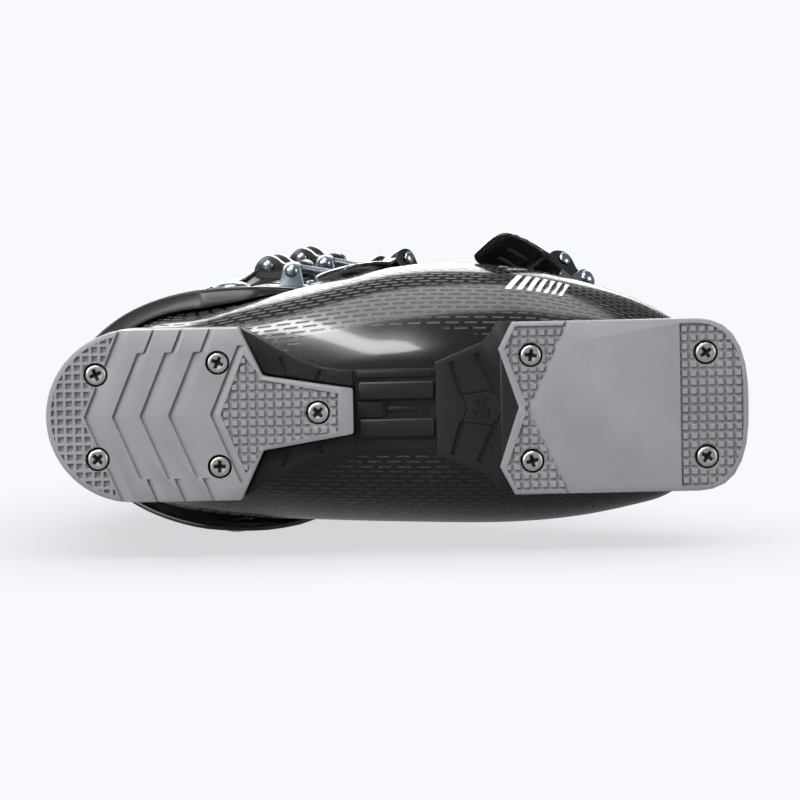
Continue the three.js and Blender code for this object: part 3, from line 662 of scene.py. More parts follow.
def makeHeelPlate():
    cell, relief = sole["cell"], sole["relief"]
    outline = roundOutline()
    plate = planSlab("heelPlate", outline, 0, 30)
    combined(plate, planSlab("cutTop", rectangle(-50, 50, 8, 140), sole["heelThickness"], 40))
    bevelled(plate, sole["rim"], 2, 50)
    ramp = skinned("ramp", [[spot(x, 119.3, -1), spot(x, 119.3, 0), spot(x, 126, 3.4), spot(x, 126, -1)]
                            for x in (-20, 20)])
    combined(plate, ramp)
    for i, (deep, high) in enumerate(heelChevrons):
        jog = sole["jog"] if 0 < i < 4 else 0
        reach = 42 if i < 4 else 28
        combined(plate, chevronCutter("chevron", deep, high, darkLean, brightLean, jog, reach))
    # waffle at the back: sunk cells
    arc = [(33 * math.sin(t), 35 - 33 * math.cos(t)) for t in (math.radians(d) for d in range(-78, 79, 6))]
    zone = planSlab("zone", arc + [(0, 14.4)], -2, relief)
    cells = blockField("cells", steps(-34.5, 34.5, cell), steps(2.2, 34, cell), 2.9, 1.9, -0.4,
                       relief - 0.3, zone)
    combined(plate, cells)
    # blocks over the tongue: a sunk bed with pyramids on it
    bedOutline = mirrored([(0, 70.8), (24.2, 80.6), (13.7, 88.2), (7.6, 118.6)])
    combined(plate, planSlab("bed", bedOutline, -2, relief - 0.2))
    boredAt(plate, heelScrews, sole["bore"])
    blocks = blockField("blocks", steps(-25.4, 25.5, cell), steps(73, 118, cell), sole["block"],
                        sole["blockTop"], relief + 0.3, sole["blockLow"],
                        planSlab("zone", bedOutline, -1, relief + 1))
    joined(plate, [boredAt(blocks, heelScrews[2:], sole["clearing"])])
    smoothShade(plate, 30)
    return dress(plate, looks["sole"], "sole_grey", "shell", "heel_sole_plate")


def makeToePlate():
    cell, relief = sole["cell"], sole["relief"]
    plate = planSlab("toePlate", toeOutline, 0, 19)
    combined(plate, planSlab("cutTop", rectangle(-50, 50, 180, 270.5), 8, 40))
    bevelled(plate, sole["rim"], 2, 50)
    combined(plate, chevronCutter("vee", 194.2, 200.6, 0.48, 0.395, 0))
    rear = [(0.6, 195.2), (24.3, 186.4), (33.4, 190.9), (33.4, 210.6)]
    front = mirrored([(33.2, 257.4), (33.2, 265), (32.5, 269.5), (30.6, 273.8), (27.3, 277.4), (22.3, 280.3),
                      (15.8, 282.2), (8, 283)])
    zones = [rear, [(-x, along) for x, along in reversed(rear)], front]
    for outline in zones:
        combined(plate, planSlab("bed", outline, -2, relief - 0.2))
    boredAt(plate, toeScrews, sole["bore"])
    fields = []
    for outline, start in zip(zones, ((2.2, 187.2), (-34.2, 187.2), (-30.9, 259.4))):
        xs = steps(start[0], start[0] + (34 if outline is not front else 64), cell)
        alongs = steps(start[1], start[1] + 26, cell)
        field = blockField("blocks", xs, alongs, sole["block"], sole["blockTop"], relief + 0.3,
                           sole["blockLow"], planSlab("zone", outline, -1, relief + 1))
        fields.append(boredAt(field, toeScrews, sole["clearing"]))
    joined(plate, fields)
    smoothShade(plate, 30)
    return dress(plate, looks["sole"], "sole_grey", "shell", "toe_sole_plate")


makeHeelPlate()
makeToePlate()
print("sole plates made")


head = {"radius": 4.15, "sunk": 0.5, "height": 2.6, "cross": 2.5, "blade": 0.75, "recess": 2.9}
holeShadePlace = {"radius": 5.05, "depth": 1.2, "up": 4.3}


def makeScrews():
    # a pan head with a cross recess whose inner faces take painted shade, and the near-black cup it sits in,
    # painted as the shade of its hole
    bpy.ops.object.select_all(action="DESELECT")
    bpy.ops.mesh.primitive_cylinder_add(vertices=48, radius=head["radius"] * mm, depth=head["height"] * mm)
    master = bpy.context.object
    bevelled(master, 0.9, 4, 50)
    for turn in (45, 135):
        bpy.ops.mesh.primitive_cube_add(size=1, location=(0, 0, -head["height"] / 2 * mm),
                                        scale=(2 * head["cross"] * mm, 2 * head["blade"] * mm, 2.2 * mm),
                                        rotation=(0, 0, math.radians(turn)))
        combined(master, settle(bpy.context.object))
    bpy.ops.mesh.primitive_cone_add(vertices=16, radius1=1.5 * mm, radius2=0.3 * mm, depth=2 * mm,
                                    location=(0, 0, -(head["height"] / 2 - 1) * mm))
    combined(master, settle(bpy.context.object))
    bevelled(master, 0.12, 2, 40)
    smoothShade(master, 35)
    for prefix, spots, offset in (("toe_screw_", toeScrews, 31), ("heel_screw_", heelScrews, 0)):
        for i, (x, along) in enumerate(spots):
            turn = Matrix.Rotation(math.radians(23 * i + offset), 4, "Z")
            screw = bpy.data.objects.new(f"{prefix}{i + 1}_head", master.data.copy())
            scene.collection.objects.link(screw)
            centre = spot(x, along, head["sunk"] + head["height"] / 2)
            screw.data.transform(Matrix.Translation(centre) @ turn)
            dress(screw, looks["zinc"], "screw_zinc", "shell", f"{prefix}{i + 1}")
            # the faces inside the cross recess get the near-black look: painted shade
            screw.data.materials.append(looks["ring"])
            face = centre.z - head["height"] / 2 * mm
            for polygon in screw.data.polygons:
                near = (polygon.center - centre).xy.length < head["recess"] * mm
                sunk = face + 0.25 * mm < polygon.center.z < face + 2.2 * mm
                polygon.material_index = 1 if near and sunk else 0
            # a near-black cup under the head, closing its hole: painted shade
            bpy.ops.object.select_all(action="DESELECT")
            bpy.ops.mesh.primitive_cylinder_add(vertices=40, radius=holeShadePlace["radius"] * mm,
                                                depth=holeShadePlace["depth"] * mm,
                                                location=spot(x, along, holeShadePlace["up"]))
            holeShade = settle(bpy.context.object)
            holeShade.name = f"{prefix}{i + 1}_cup"
            smoothShade(holeShade, 30)
            dress(holeShade, looks["ring"], "cuff_satin", "shell")
    bpy.data.objects.remove(master)


makeScrews()
print("screws made")

# the boot's lofted forms
# Each row is a slice: it passes through (along, up) and leans by tilt; low, wide and high run along
# the slice, and lateral and medial are its half widths. The last two round its corners.
rowKeys = ("along", "up", "tilt", "low", "wide", "high", "lateral", "medial", "squareLow", "squareHigh")
shellRows = [
    (270, 165, 0, -138, -130, -121, 9, 10, 2, 2),
    (268.5, 165, 0, -147, -130, -112, 19, 21, 2.2, 2),
    (263, 165, 0, -154, -131, -106, 29, 32, 2.6, 2.1),
    (253, 165, 0, -156, -130, -101, 36.5, 39.5, 2.8, 2.2),
    (238, 165, 0, -156, -126, -97, 44, 44, 2.8, 2.2),
    (216, 165, 0, -155, -119, -90, 51, 48.5, 2.7, 2.2),
    (190, 165, 0, -153, -112, -80, 56.5, 51, 2.6, 2.2),
    (190, 165, 20, -161, -110, -67, 58, 51, 2.5, 2.2),
    (190, 165, 38, -182, -115, -56, 51, 50.5, 2.4, 2.2),
    (190, 165, 48, -208, -124, -51, 44, 50, 2.3, 2.2),
    (190, 165, 56, -216, -124, -47, 43, 49.5, 2.2, 2.2),
    (190, 165, 66, -199, -117, -44, 42, 49, 2.1, 2.2),
    (190, 165, 78, -187, -110, -42, 39.5, 48, 2.1, 2.2),
    (190, 165, 90, -178, -106, -41, 37.5, 47, 2.1, 2.2),
]
cuffRows = [
    (63.4, 60, 105, -64, 15, 88, 50, 54, 2.2, 2.2),
    (72, 92, 105, -73, 12, 86, 49, 55, 2.2, 2.2),
    (80.8, 125, 105, -80, 5, 80, 47, 54.5, 2.2, 2.2),
    (90.2, 160, 105, -80, 0, 70, 46, 53, 2.2, 2.2),
    (100.9, 200, 105, -73, -3, 63, 47.5, 53, 2.2, 2.2),
    (114.3, 250, 105, -68, -3, 60, 50, 53.5, 2.2, 2.2),
    (130.4, 310, 105, -66, -2, 62, 53.5, 55, 2.2, 2.2),
    (141.1, 350, 105, -66, -2, 64, 56, 57, 2.2, 2.2),
]
linerRows = [
    (63.4, 60, 105, -48, 10, 64, 31, 38, 2.2, 2.2),
    (72, 92, 105, -58, 8, 64, 32, 39.5, 2.2, 2.2),
    (80.8, 125, 105, -68, 4, 55, 31.5, 40, 2.2, 2.2),
    (90.2, 160, 105, -73, -2, 42, 35.5, 43, 2.2, 2.2),
    (95, 178, 105, -71, -4, 39, 40, 46.5, 2.2, 2.2),
    (100.9, 200, 105, -68, -3, 55.5, 42.5, 48, 2.2, 2.2),
    (114.3, 250, 105, -63, -3, 54, 45, 48.5, 2.2, 2.2),
    (130.4, 310, 105, -61, -2, 57, 48.5, 50, 2.2, 2.2),
    (143.8, 360, 105, -60, -2, 56, 50, 51, 2.2, 2.2),
]


def rowAt(rows, place):
    # a smooth row between the given ones
    i = min(int(place), len(rows) - 2)
    t = place - i
    a, b = rows[max(i - 1, 0)], rows[i]
    c, d = rows[i + 1], rows[min(i + 2, len(rows) - 1)]
    return dict(zip(rowKeys, (between4(*values, t) for values in zip(a, b, c, d))))


def power(value, exponent):
    return math.copysign(abs(value) ** exponent, value)


def onSlice(row, turn, grow=0.0):
    # (x, along, up) at a turn round the slice: 0 medial, 90 front or top, 180 lateral
    lean = math.radians(row["tilt"])
    across, rise = math.cos(turn), math.sin(turn)
    square = 2 / (row["squareLow"] if rise < 0 else row["squareHigh"])
    reach = (row["lateral"] if across < 0 else row["medial"]) + grow
    span = (row["wide"] - row["low"] if rise < 0 else row["high"] - row["wide"]) + grow
    r = row["wide"] + power(rise, square) * span
    return (power(across, square) * reach, row["along"] + math.sin(lean) * r, row["up"] + math.cos(lean) * r)


def lineThrough(points):
    # a height for each distance along, through [along, up] points
    def height(along):
        if along <= points[0][0]:
            return points[0][1]
        for (a, low), (b, high) in zip(points, points[1:]):
            if along <= b:
                return low + (high - low) * (along - a) / (b - a)
        return points[-1][1]
    return height


def trimmedLoft(name, rows, around, lengthwise, inside, start=0.0, grow=0.0, turns=(0, 360), pole=False):
    # a sheet through the rows, its columns ended where "inside" turns false
    closed = turns[1] - turns[0] >= 360
    count = around if closed else around + 1
    last = len(rows) - 1
    columns = []
    for k in range(count):
        turn = math.radians(turns[0] + (turns[1] - turns[0]) * k / around)

        def at(place):
            return onSlice(rowAt(rows, place), turn, grow)

        tried = [start + (last - start) * i / 120 for i in range(121)]
        kept = [place for place in tried if inside(at(place))]
        ends = []
        for edge, step in ((kept[0], -1), (kept[-1], 1)):
            good, bad = edge, min(max(edge + step * (last - start) / 120, start), last)
            for _ in range(12):
                middle = (good + bad) / 2
                if inside(at(middle)):
                    good = middle
                else:
                    bad = middle
            ends.append(good)
        columns.append([at(ends[0] + (ends[1] - ends[0]) * i / lengthwise) for i in range(lengthwise + 1)])
    verts = [spot(*p) for column in columns for p in column]
    faces, uvs = [], []
    size = lengthwise + 1
    runs = []
    for column in columns:
        run = [0.0]
        for a, b in zip(column, column[1:]):
            run.append(run[-1] + math.dist(a, b))
        runs.append(run)
    girths = [[0.0] for _ in range(size)]
    for i in range(size):
        for k in range(count):
            girths[i].append(girths[i][-1] + math.dist(columns[k][i], columns[(k + 1) % count][i]))
    meanGirth = [sum(girths[i][k] for i in range(size)) / size for k in range(count + 1)]
    meanRun = [sum(run[i] for run in runs) / count for i in range(size)]
    for k in range(count if closed else count - 1):
        n = (k + 1) % count
        for i in range(lengthwise):
            faces.append((k * size + i, n * size + i, n * size + i + 1, k * size + i + 1))
            uvs += [(meanRun[i], meanGirth[k]), (meanRun[i], meanGirth[k + 1]),
                    (meanRun[i + 1], meanGirth[k + 1]), (meanRun[i + 1], meanGirth[k])]
    if pole:
        centre = sum((verts[k * size] for k in range(count)), Vector()) / count
        verts.append(centre)
        for k in range(count):
            n = (k + 1) % count
            faces.append((len(verts) - 1, n * size, k * size))
            uvs += [(meanRun[0], meanGirth[k])] * 3
    obj = meshPiece(name, verts, faces, uvs)
    editAll(obj)
    bpy.ops.mesh.normals_make_consistent(inside=False)
    leaveEdit()
    return obj


def thickened(obj, thickness):
    return applied(obj, "SOLIDIFY", thickness=thickness * mm, offset=-1, use_even_offset=True,
                   use_quality_normals=True)


def walled(obj, thickness, rim=0.8, segments=3):
    # a wall behind the sheet, with rounded edges; the sheet's own side stays where it is
    thickened(obj, thickness)
    return bevelled(obj, rim, segments, 50)


shellTop = lineThrough([(-20, 118), (20, 123), (70, 133), (100, 133), (112, 137), (130, 148), (150, 154),
                        (160, 157), (166, 260)])
cuffFoot = lineThrough([(-20, 84), (20, 82), (44, 70), (60, 62), (84, 62), (97, 76), (112, 108), (130, 138),
                        (150, 152), (210, 156)])
cuffHead = lineThrough([(-20, 308), (45, 308), (90, 298), (140, 280), (240, 268)])


# the dashes stop round an oval beside the arch, under the sole and above the ankle
dashField = {"along": 142, "x": -14, "longHalf": 52, "wideHalf": 21, "fade": 6, "solePlates": 40, "top": 112,
             "medial": 0.35}


def makeShell():
    shell = trimmedLoft("shellBody", shellRows, 96, 110, lambda p: p[2] < shellTop(p[1]), pole=True)
    amount = shell.data.attributes.new("dashAmount", "FLOAT", "POINT")
    for i, vert in enumerate(shell.data.vertices):
        x = (vert.co.x - centreX) / mm
        along = (heelEnd - vert.co.y) / mm
        up = vert.co.z / mm
        lengthwise = (along - dashField["along"]) / dashField["longHalf"]
        across = (x - dashField["x"]) / dashField["wideHalf"]
        gap = math.hypot(lengthwise, across) - 1 if up < 70 else 1
        side = min(max((abs(x) + dashField["x"]) / 6, 0), 1) if up < dashField["solePlates"] else 1
        value = min(max(gap * dashField["fade"], 0), 1) * side * (1 if x < 0 else dashField["medial"])
        amount.data[i].value = value if up < dashField["top"] else 0
    walled(shell, 4.2, 0.9)
    smoothShade(shell, 60)
    return dress(shell, looks["shell"], "shell_gloss", "shell", "lower_shell")


makeShell()
print("shell made")

# the black chassis under the arch
chassis = {"bottom": 8.9, "floor": 11.6, "top": 25, "gap": 1.1, "groove": 1.6, "deep": 1.2}
beamOutline = mirrored([(0, 78), (34.6, 79), (31, 86), (27, 92), (23, 99), (20, 105), (17.6, 112),
                        (16.5, 120), (16.5, 158), (19, 158.5), (27, 178),
                        (31, 181.5), (35, 184), (35, 192), (0, 194)])


def grownOutline(outline, by):
    # moves a closed outline outwards
    area = sum(a[0] * b[1] - b[0] * a[1] for a, b in zip(outline, outline[1:] + outline[:1]))
    sign = 1 if area > 0 else -1
    grown = []
    for i, here in enumerate(outline):
        before, after = Vector(outline[i - 1]), Vector(outline[(i + 1) % len(outline)])
        one, two = (Vector(here) - before).normalized(), (after - Vector(here)).normalized()
        bend = (one + two).normalized()
        reach = sign * by / max(0.4, bend.dot(two))
        grown.append((here[0] + bend.y * reach, here[1] - bend.x * reach))
    return grown


def grooveBar(ends, width, deep):
    # a straight cutter between two [x, along] places
    a, b = Vector(ends[0]), Vector(ends[1])
    side = (b - a).normalized().orthogonal() * width / 2
    ring = [a + side, b + side, b - side, a - side]
    bottom = chassis["bottom"]
    return planSlab("groove", [tuple(p) for p in ring], bottom - 1, bottom + deep)


def makeChassis():
    bottom, floor, top = chassis["bottom"], chassis["floor"], chassis["top"]
    body = planSlab("archChassis", beamOutline, bottom, top)
    combined(body, planSlab("seat", grownOutline(roundOutline(8), chassis["gap"]), -1, 12.4))
    combined(body, planSlab("seat", grownOutline(toeOutline, chassis["gap"]), -1, 8.5))
    combined(body, planSlab("waist", rectangle(-40, 40, 124.4, 158.4), -1, floor))
    bevelled(body, 0.5, 2, 40)
    for side in (1, -1):
        for ends in (((22.4, 95.2), (14.4, 98.6)), ((17.2, 111.6), (11.2, 109.3))):
            bar = grooveBar([(x * side, along) for x, along in ends], chassis["groove"], chassis["deep"])
            combined(body, bar)
        for apex, foot in ((170.4, 165.4), (185.4, 177.6)):
            lean = (apex - foot) / 17
            out = 19 if apex < 180 else 22.4
            ends = [(5.6, apex - lean * 5.6), (out, apex - lean * out)]
            combined(body, grooveBar([(x * side, along) for x, along in ends], 2.0, chassis["deep"]))
            thin = [(0, apex + 0.4), (5.6, apex + 0.4 - lean * 5.6)]
            combined(body, grooveBar([(x * side, along) for x, along in thin], 0.6, 0.6))
        link = [(5.6 * side, 169.4), (7.4 * side, 182.4)]
        combined(body, grooveBar(link, 0.6, 0.6))
    ribs = []
    for low, high in ((3.7, 11.4), (-11.5, -4.0)):
        rib = planSlab("rib", rectangle(low, high, 126.8, 157.4), bottom - 0.2, floor + 1)
        ribs.append(bevelled(rib, 0.9, 3, 50))
    edge = planSlab("rib", rectangle(-16.2, -13, 126, 158.4), floor - 1.2, floor + 1)
    ribs.append(bevelled(edge, 0.5, 2, 50))
    stop = planSlab("rib", rectangle(-3.4, 3.4, 126, 136.4), floor - 1.2, floor + 1)
    ribs.append(bevelled(stop, 0.4, 2, 50))
    joined(body, ribs)
    well = planSlab("well", rectangle(-3.4, 3.4, 137.6, 155.6), floor - 2, floor + 1.6)
    combined(body, well)
    bar = planSlab("rib", rectangle(-1.1, 1.1, 138.6, 155), floor + 0.5, floor + 2)
    joined(body, [bevelled(bar, 0.4, 2, 50)])
    smoothShade(body, 30)
    return dress(body, looks["chassis"], "cuff_satin", "shell", "lower_shell")


def makeBlocks():
    # what the two plates are screwed to
    heelBlock = planSlab("heelBlock", grownOutline(roundOutline(16), -0.5), 12.3, 35)
    combined(heelBlock, planSlab("ahead", rectangle(-50, 50, 88, 140), 0, 60))
    combined(heelBlock, planSlab("lugSeat", rectangle(-50, 50, -10, 8.4), 0, 60))
    bevelled(heelBlock, 1.0, 3, 50)
    toeRing = mirrored([(0, 184.5), (24, 184.5), (34.6, 190), (34.6, 250), (33, 258), (29.5, 264),
                        (20, 270.2)])
    toeBlock = planSlab("toeBlock", toeRing, 8.3, 24)
    bevelled(toeBlock, 1.0, 3, 50)
    joined(heelBlock, [toeBlock])
    heelBlock.name = "soleBlocks"
    smoothShade(heelBlock, 30)
    return dress(heelBlock, looks["satin"], "cuff_satin", "shell", "lower_shell")


number = {"text": "24", "size": 9.2, "raised": 0.7, "x": -0.6, "along": 176.6}


def makeSizeNumber():
    bpy.ops.object.select_all(action="DESELECT")
    bpy.ops.object.text_add()
    text = bpy.context.object
    text.data.body = number["text"]
    text.data.size = number["size"] * mm
    text.data.extrude = number["raised"] * mm
    text.data.align_x, text.data.align_y = "CENTER", "CENTER"
    bpy.ops.object.convert(target="MESH")
    text = bpy.context.object
    text.name = "sizeNumber"
    axes = Matrix(((-1, 0, 0), (0, 1, 0), (0, 0, -1))).transposed().to_4x4()
    text.data.transform(Matrix.Translation(spot(number["x"], number["along"], chassis["bottom"])) @ axes)
    tidyMesh(text, 0.000005)
    smoothShade(text, 30)
    return dress(text, looks["chassis"], "cuff_satin", "shell")


makeChassis()
makeBlocks()
makeSizeNumber()
print("chassis made")


# throat gaiter, cuff, strap
def panel(name, rows, places, turns, grow, thickness, around=30, lengthwise=30, rim=0.5):
    # a sheet of the loft between two places and two turns, given a wall
    verts, faces, uvs = [], [], []
    for k in range(around + 1):
        turn = math.radians(turns[0] + (turns[1] - turns[0]) * k / around)
        for i in range(lengthwise + 1):
            place = places[0] + (places[1] - places[0]) * i / lengthwise
            verts.append(spot(*onSlice(rowAt(rows, place), turn, grow)))
    size = lengthwise + 1
    wide = (verts[size * around] - verts[0]).length / mm
    long = (verts[size - 1] - verts[0]).length / mm
    for k in range(around):
        for i in range(lengthwise):
            corners = ((i, k), (i, k + 1), (i + 1, k + 1), (i + 1, k))
            faces.append(tuple(n * size + m for m, n in corners))
            uvs += [(m / lengthwise * long, n / around * wide) for m, n in corners]
    obj = meshPiece(name, verts, faces, uvs)
    middle = spot(*onSlice(rowAt(rows, (places[0] + places[1]) / 2), 0, -40))
    face = obj.data.polygons[len(obj.data.polygons) // 2]
    if face.normal.dot(face.center - middle) < 0:  # faces point away from the leg
        editAll(obj)
        bpy.ops.mesh.flip_normals()
        leaveEdit()
    return walled(obj, thickness, rim)


gaiter = {"places": (5.3, 8.4), "turns": (68, 116), "grow": 2.3, "wall": 2.0}


def makeGaiter():
    flap = panel("throatGaiter", shellRows, gaiter["places"], gaiter["turns"], gaiter["grow"], gaiter["wall"])
    smoothShade(flap, 50)
    return dress(flap, looks["satin"], "cuff_satin", "shell", "throat_gaiter")


cuffWall = {"thickness": 2.2, "rim": 0.8}
skirt = {"from": 10, "to": 100, "gap": 1.4, "steps": 48}


def makeCuff():
    cuff = trimmedLoft("cuffBody", cuffRows, 96, 70, lambda p: cuffFoot(p[1]) < p[2] < cuffHead(p[1]))
    walled(cuff, cuffWall["thickness"], cuffWall["rim"])
    seam = [[spot(x - 2, 90, up), spot(x - 1.2, 90, up), spot(x - 1.2, 240, up), spot(x - 2, 240, up)]
            for x, up in ((16, 118), (-18, 330))]
    combined(cuff, skinned("seam", seam))
    smoothShade(cuff, 50)
    return dress(cuff, looks["satin"], "cuff_satin", "cuff", "cuff")


def makeCuffSkirt(cuff, shell):
    # the cuff's lower edge turns in towards the shell beside the pivot
    def reach(obj, along, up):
        hit, place, _, _ = obj.ray_cast(spot(-200, along, up), Vector((1, 0, 0)))
        return (place.x - centreX) / mm if hit else None

    rings = []
    for i in range(skirt["steps"] + 1):
        along = skirt["from"] + (skirt["to"] - skirt["from"]) * i / skirt["steps"]
        up = cuffFoot(along) + 0.6
        outer, inner = reach(cuff, along, up + 0.4), reach(shell, along, up)
        if outer is None or inner is None:
            continue
        inner = max(inner - skirt["gap"], outer + 1.6)
        ring = [(outer + 0.5, up + 0.6), (outer + 0.9, up - 0.1), (outer * 0.7 + inner * 0.3, up - 1.3),
                (outer * 0.3 + inner * 0.7, up - 2.6), (inner, up - 3.0), (inner, up + 3),
                (outer + 0.5, up + 5)]
        rings.append([spot(x, along, z) for x, z in ring])
    piece = skinned("cuffSkirt", rings)
    bevelled(piece, 0.4, 2, 50)
    smoothShade(piece, 50)
    return dress(piece, looks["satin"], "cuff_satin", "cuff")


strap = {"height": 34, "grow": 2.9, "wall": 2.4, "tabInset": 1.5, "tabGrow": 4.9, "tabWall": 1.8, "rim": 0.5}


def makeStrap():
    low = lineThrough([(-20, 277.6), (260, 210.4)])

    def band(inset):
        return lambda p: low(p[1]) + inset < p[2] < low(p[1]) + strap["height"] - inset

    loop = trimmedLoft("powerStrap", cuffRows, 96, 10, band(0), grow=strap["grow"])
    walled(loop, strap["wall"], strap["rim"], 2)
    smoothShade(loop, 50)
    dress(loop, looks["webbing"], "strap_webbing", "cuff", "power_strap")
    tab = trimmedLoft("strapTab", cuffRows, 24, 8, band(strap["tabInset"]), grow=strap["tabGrow"],
                      turns=(104, 150))
    walled(tab, strap["tabWall"], strap["rim"], 2)
    smoothShade(tab, 50)
    return dress(tab, looks["webbing"], "strap_webbing", "cuff")


makeGaiter()
makeCuffSkirt(makeCuff(), bpy.data.objects["shellBody"])
makeStrap()
print("cuff and strap made")


# liner
puff = {"cap": 2.2, "frames": 20, "pressure": 4}
stitch = {"depth": 1.3, "width": 1.6, "shaft": (236, 262, 288, 306), "tongue": (250, 276, 302)}


def inflated(obj):
    # lets the padding swell a little, then keeps that shape
    rest = [v.co.copy() for v in obj.data.vertices]
    onlyThis(obj)
    soft = obj.modifiers.new("Cloth", "CLOTH")
    soft.settings.use_pressure = True
    soft.settings.uniform_pressure_force = puff["pressure"]
    soft.settings.effector_weights.gravity = 0
    soft.point_cache.frame_start, soft.point_cache.frame_end = 1, puff["frames"]
    for number in range(1, puff["frames"] + 1):
        scene.frame_set(number)
    bpy.ops.object.modifier_apply(modifier=soft.name)
    scene.frame_set(1)
    for vert, was in zip(obj.data.vertices, rest):
        move = vert.co - was
        if move.length > puff["cap"] * mm:
            vert.co = was + move.normalized() * puff["cap"] * mm
    return obj


def quilted(obj, heights):
    # sewn channels: points near a height up the leg sink into the padding
    obj.data.update()
    normals = [v.normal.copy() for v in obj.data.vertices]
    for vert, normal in zip(obj.data.vertices, normals):
        near = min(abs(legHeight(vert.co) - height) for height in heights)
        vert.co -= normal * stitch["depth"] * mm * math.exp(-(near / stitch["width"]) ** 2)
    return obj


def alongOf(co):
    return (heelEnd - co.y) / mm


def legHeight(co):
    # distance up the leg, which leans forward
    return co.z / mm + 0.27 * (alongOf(co) - 100)


def padding(obj, thickness, heights, node):
    thickened(obj, thickness)
    inflated(obj)
    applied(obj, "SUBSURF", levels=1, render_levels=1)
    quilted(obj, heights)
    smoothShade(obj, 70)
    dress(obj, looks["liner"], "liner_fabric", "cuff", node)
    return obj


def makeLinerShaft():
    head = lineThrough([(-60, 325), (60, 325), (130, 311), (260, 311)])
    shaft = trimmedLoft("linerShaft", linerRows, 60, 44,
                        lambda p: 96 + (p[1] - 60) * 0.28 < p[2] < head(p[1]), grow=-1, turns=(123, 417))
    return padding(shaft, 5.6, stitch["shaft"], "liner_shaft")


def makeTongue():
    head = lineThrough([(-60, 337), (130, 333), (260, 333)])
    tongue = trimmedLoft("linerTongue", linerRows, 30, 50, lambda p: 172 < p[2] < head(p[1]), grow=0.2,
                         turns=(62, 118))
    return padding(tongue, 6.2, stitch["tongue"], "liner_tongue")


def cadCopy(node, name):
    # a merged copy of a CAD solid, free to be finished
    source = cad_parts[node]
    obj = bpy.data.objects.new(name, source.data.copy())
    scene.collection.objects.link(obj)
    editAll(obj)
    bpy.ops.mesh.remove_doubles(threshold=0.00001)
    leaveEdit()
    return obj


def makeLinerFoot():
    foot = cadCopy("liner_foot", "linerFoot")
    applied(foot, "REMESH", mode="VOXEL", voxel_size=0.0028)
    applied(foot, "SMOOTH", factor=0.5, iterations=6)
    foot.data.uv_layers.new(name="surface")
    layer = foot.data.uv_layers["surface"]
    for loop in foot.data.loops:
        co = foot.data.vertices[loop.vertex_index].co
        layer.data[loop.index].uv = (co.y / mm, co.z / mm)
    smoothShade(foot, 70)
    dress(foot, looks["liner"], "liner_fabric", "shell", "liner_foot")
    return foot


makeLinerShaft()
makeTongue()
makeLinerFoot()
print("liner made")


# buckles
# Each runs over the surface from its bracket to its catch; rows are counted from a body's first row.
buckleRuns = {
    "toe": (shellRows, "shell", (5.05, 141), (3.3, 84), -43, 0.8),
    "instep": (shellRows, "shell", (7.7, 143), (7.1, 66), -46, 1.6),
    "lower_cuff": (cuffRows, "cuff", (3.35, 176), (3.3, 80), -48, 1.6),
    "upper_cuff": (cuffRows, "cuff", (4.5, 174), (4.5, 78), -45, 1.6),
}
runKeys = ("rows", "body", "from", "to", "tip", "bladeGap")
buckle = {
    "pinHeight": 7.5, "pin": 1.6, "throw": 12, "leverHalf": 9, "cheekInside": 4.9, "ear": 2.0,
    "earInside": 9.4, "yokeAt": 25, "yokeLift": 9, "wireSpread": 9, "wire": 1.7, "ladderTop": 2.5,
    "slip": 0.3, "bladeWide": 12, "slotStart": 9, "slotEnd": 19, "thread": 1.75, "ridge": 0.35, "pitch": 1.0,
}
millimetres = Matrix.Translation(Vector((centreX, heelEnd, 0))) @ Matrix.Scale(mm, 4)


def between(rows, place):
    # straight between half steps, which is where the fittings were set out
    place = min(max(place * 2, 0), (len(rows) - 1) * 2 - 0.001)
    i = int(place)
    a, b = rowAt(rows, i / 2), rowAt(rows, min((i + 1) / 2, len(rows) - 1.0001))
    return {key: a[key] + (b[key] - a[key]) * (place - i) for key in rowKeys}


def onRun(run, share, grow=0.0, nudge=0.0):
    place, turn = (a + (b - a) * share for a, b in zip(run["from"], run["to"]))
    return Vector(onSlice(between(run["rows"], place + nudge), math.radians(turn), grow))


def toFrame(p):
    # (x, along, up) to right-handed millimetres, y towards the heel
    return Vector((p.x, -p.y, p.z))


def axesAt(run, share):
    step = 0.02
    at = toFrame(onRun(run, share))
    along = (toFrame(onRun(run, share + step)) - toFrame(onRun(run, share - step))).normalized()
    beside = toFrame(onRun(run, share, nudge=step)) - toFrame(onRun(run, share, nudge=-step))
    out = along.cross(beside).normalized()
    if out.dot(toFrame(onRun(run, share, 5)) - at) < 0:
        out.negate()
    cross = along.cross(out).normalized()
    turn = Matrix((along, out, cross)).transposed().to_4x4()
    return millimetres @ Matrix.Translation(at) @ turn


def curveThrough(points, fill=6):
    # a smooth closed outline through points
    made = []
    count = len(points)
    for i in range(count):
        p, q, r, s = (Vector(points[(i + k) % count]) for k in (-1, 0, 1, 2))
        made += [tuple(between4(p, q, r, s, k / fill)) for k in range(fill)]
    return made


def sideSlab(name, axes, outline, low, high):
    # a side outline of [run, out] points, spread across the buckle
    ring = [axes @ Vector((a, b, low)) for a, b in outline]
    return slab(name, ring, axes.to_3x3() @ Vector((0, 0, high - low)))


def pin(name, axes, start, end, radius, sides=24):
    # a round bar between two places of the buckle
    a, b = axes @ Vector(start), axes @ Vector(end)
    bpy.ops.object.select_all(action="DESELECT")
    bpy.ops.mesh.primitive_cylinder_add(vertices=sides, radius=radius * mm, depth=(b - a).length,
                                        location=(a + b) / 2)
    obj = bpy.context.object
    obj.name = name
    obj.rotation_mode = "QUATERNION"
    obj.rotation_quaternion = (b - a).to_track_quat("Z", "Y")
    return settle(obj)


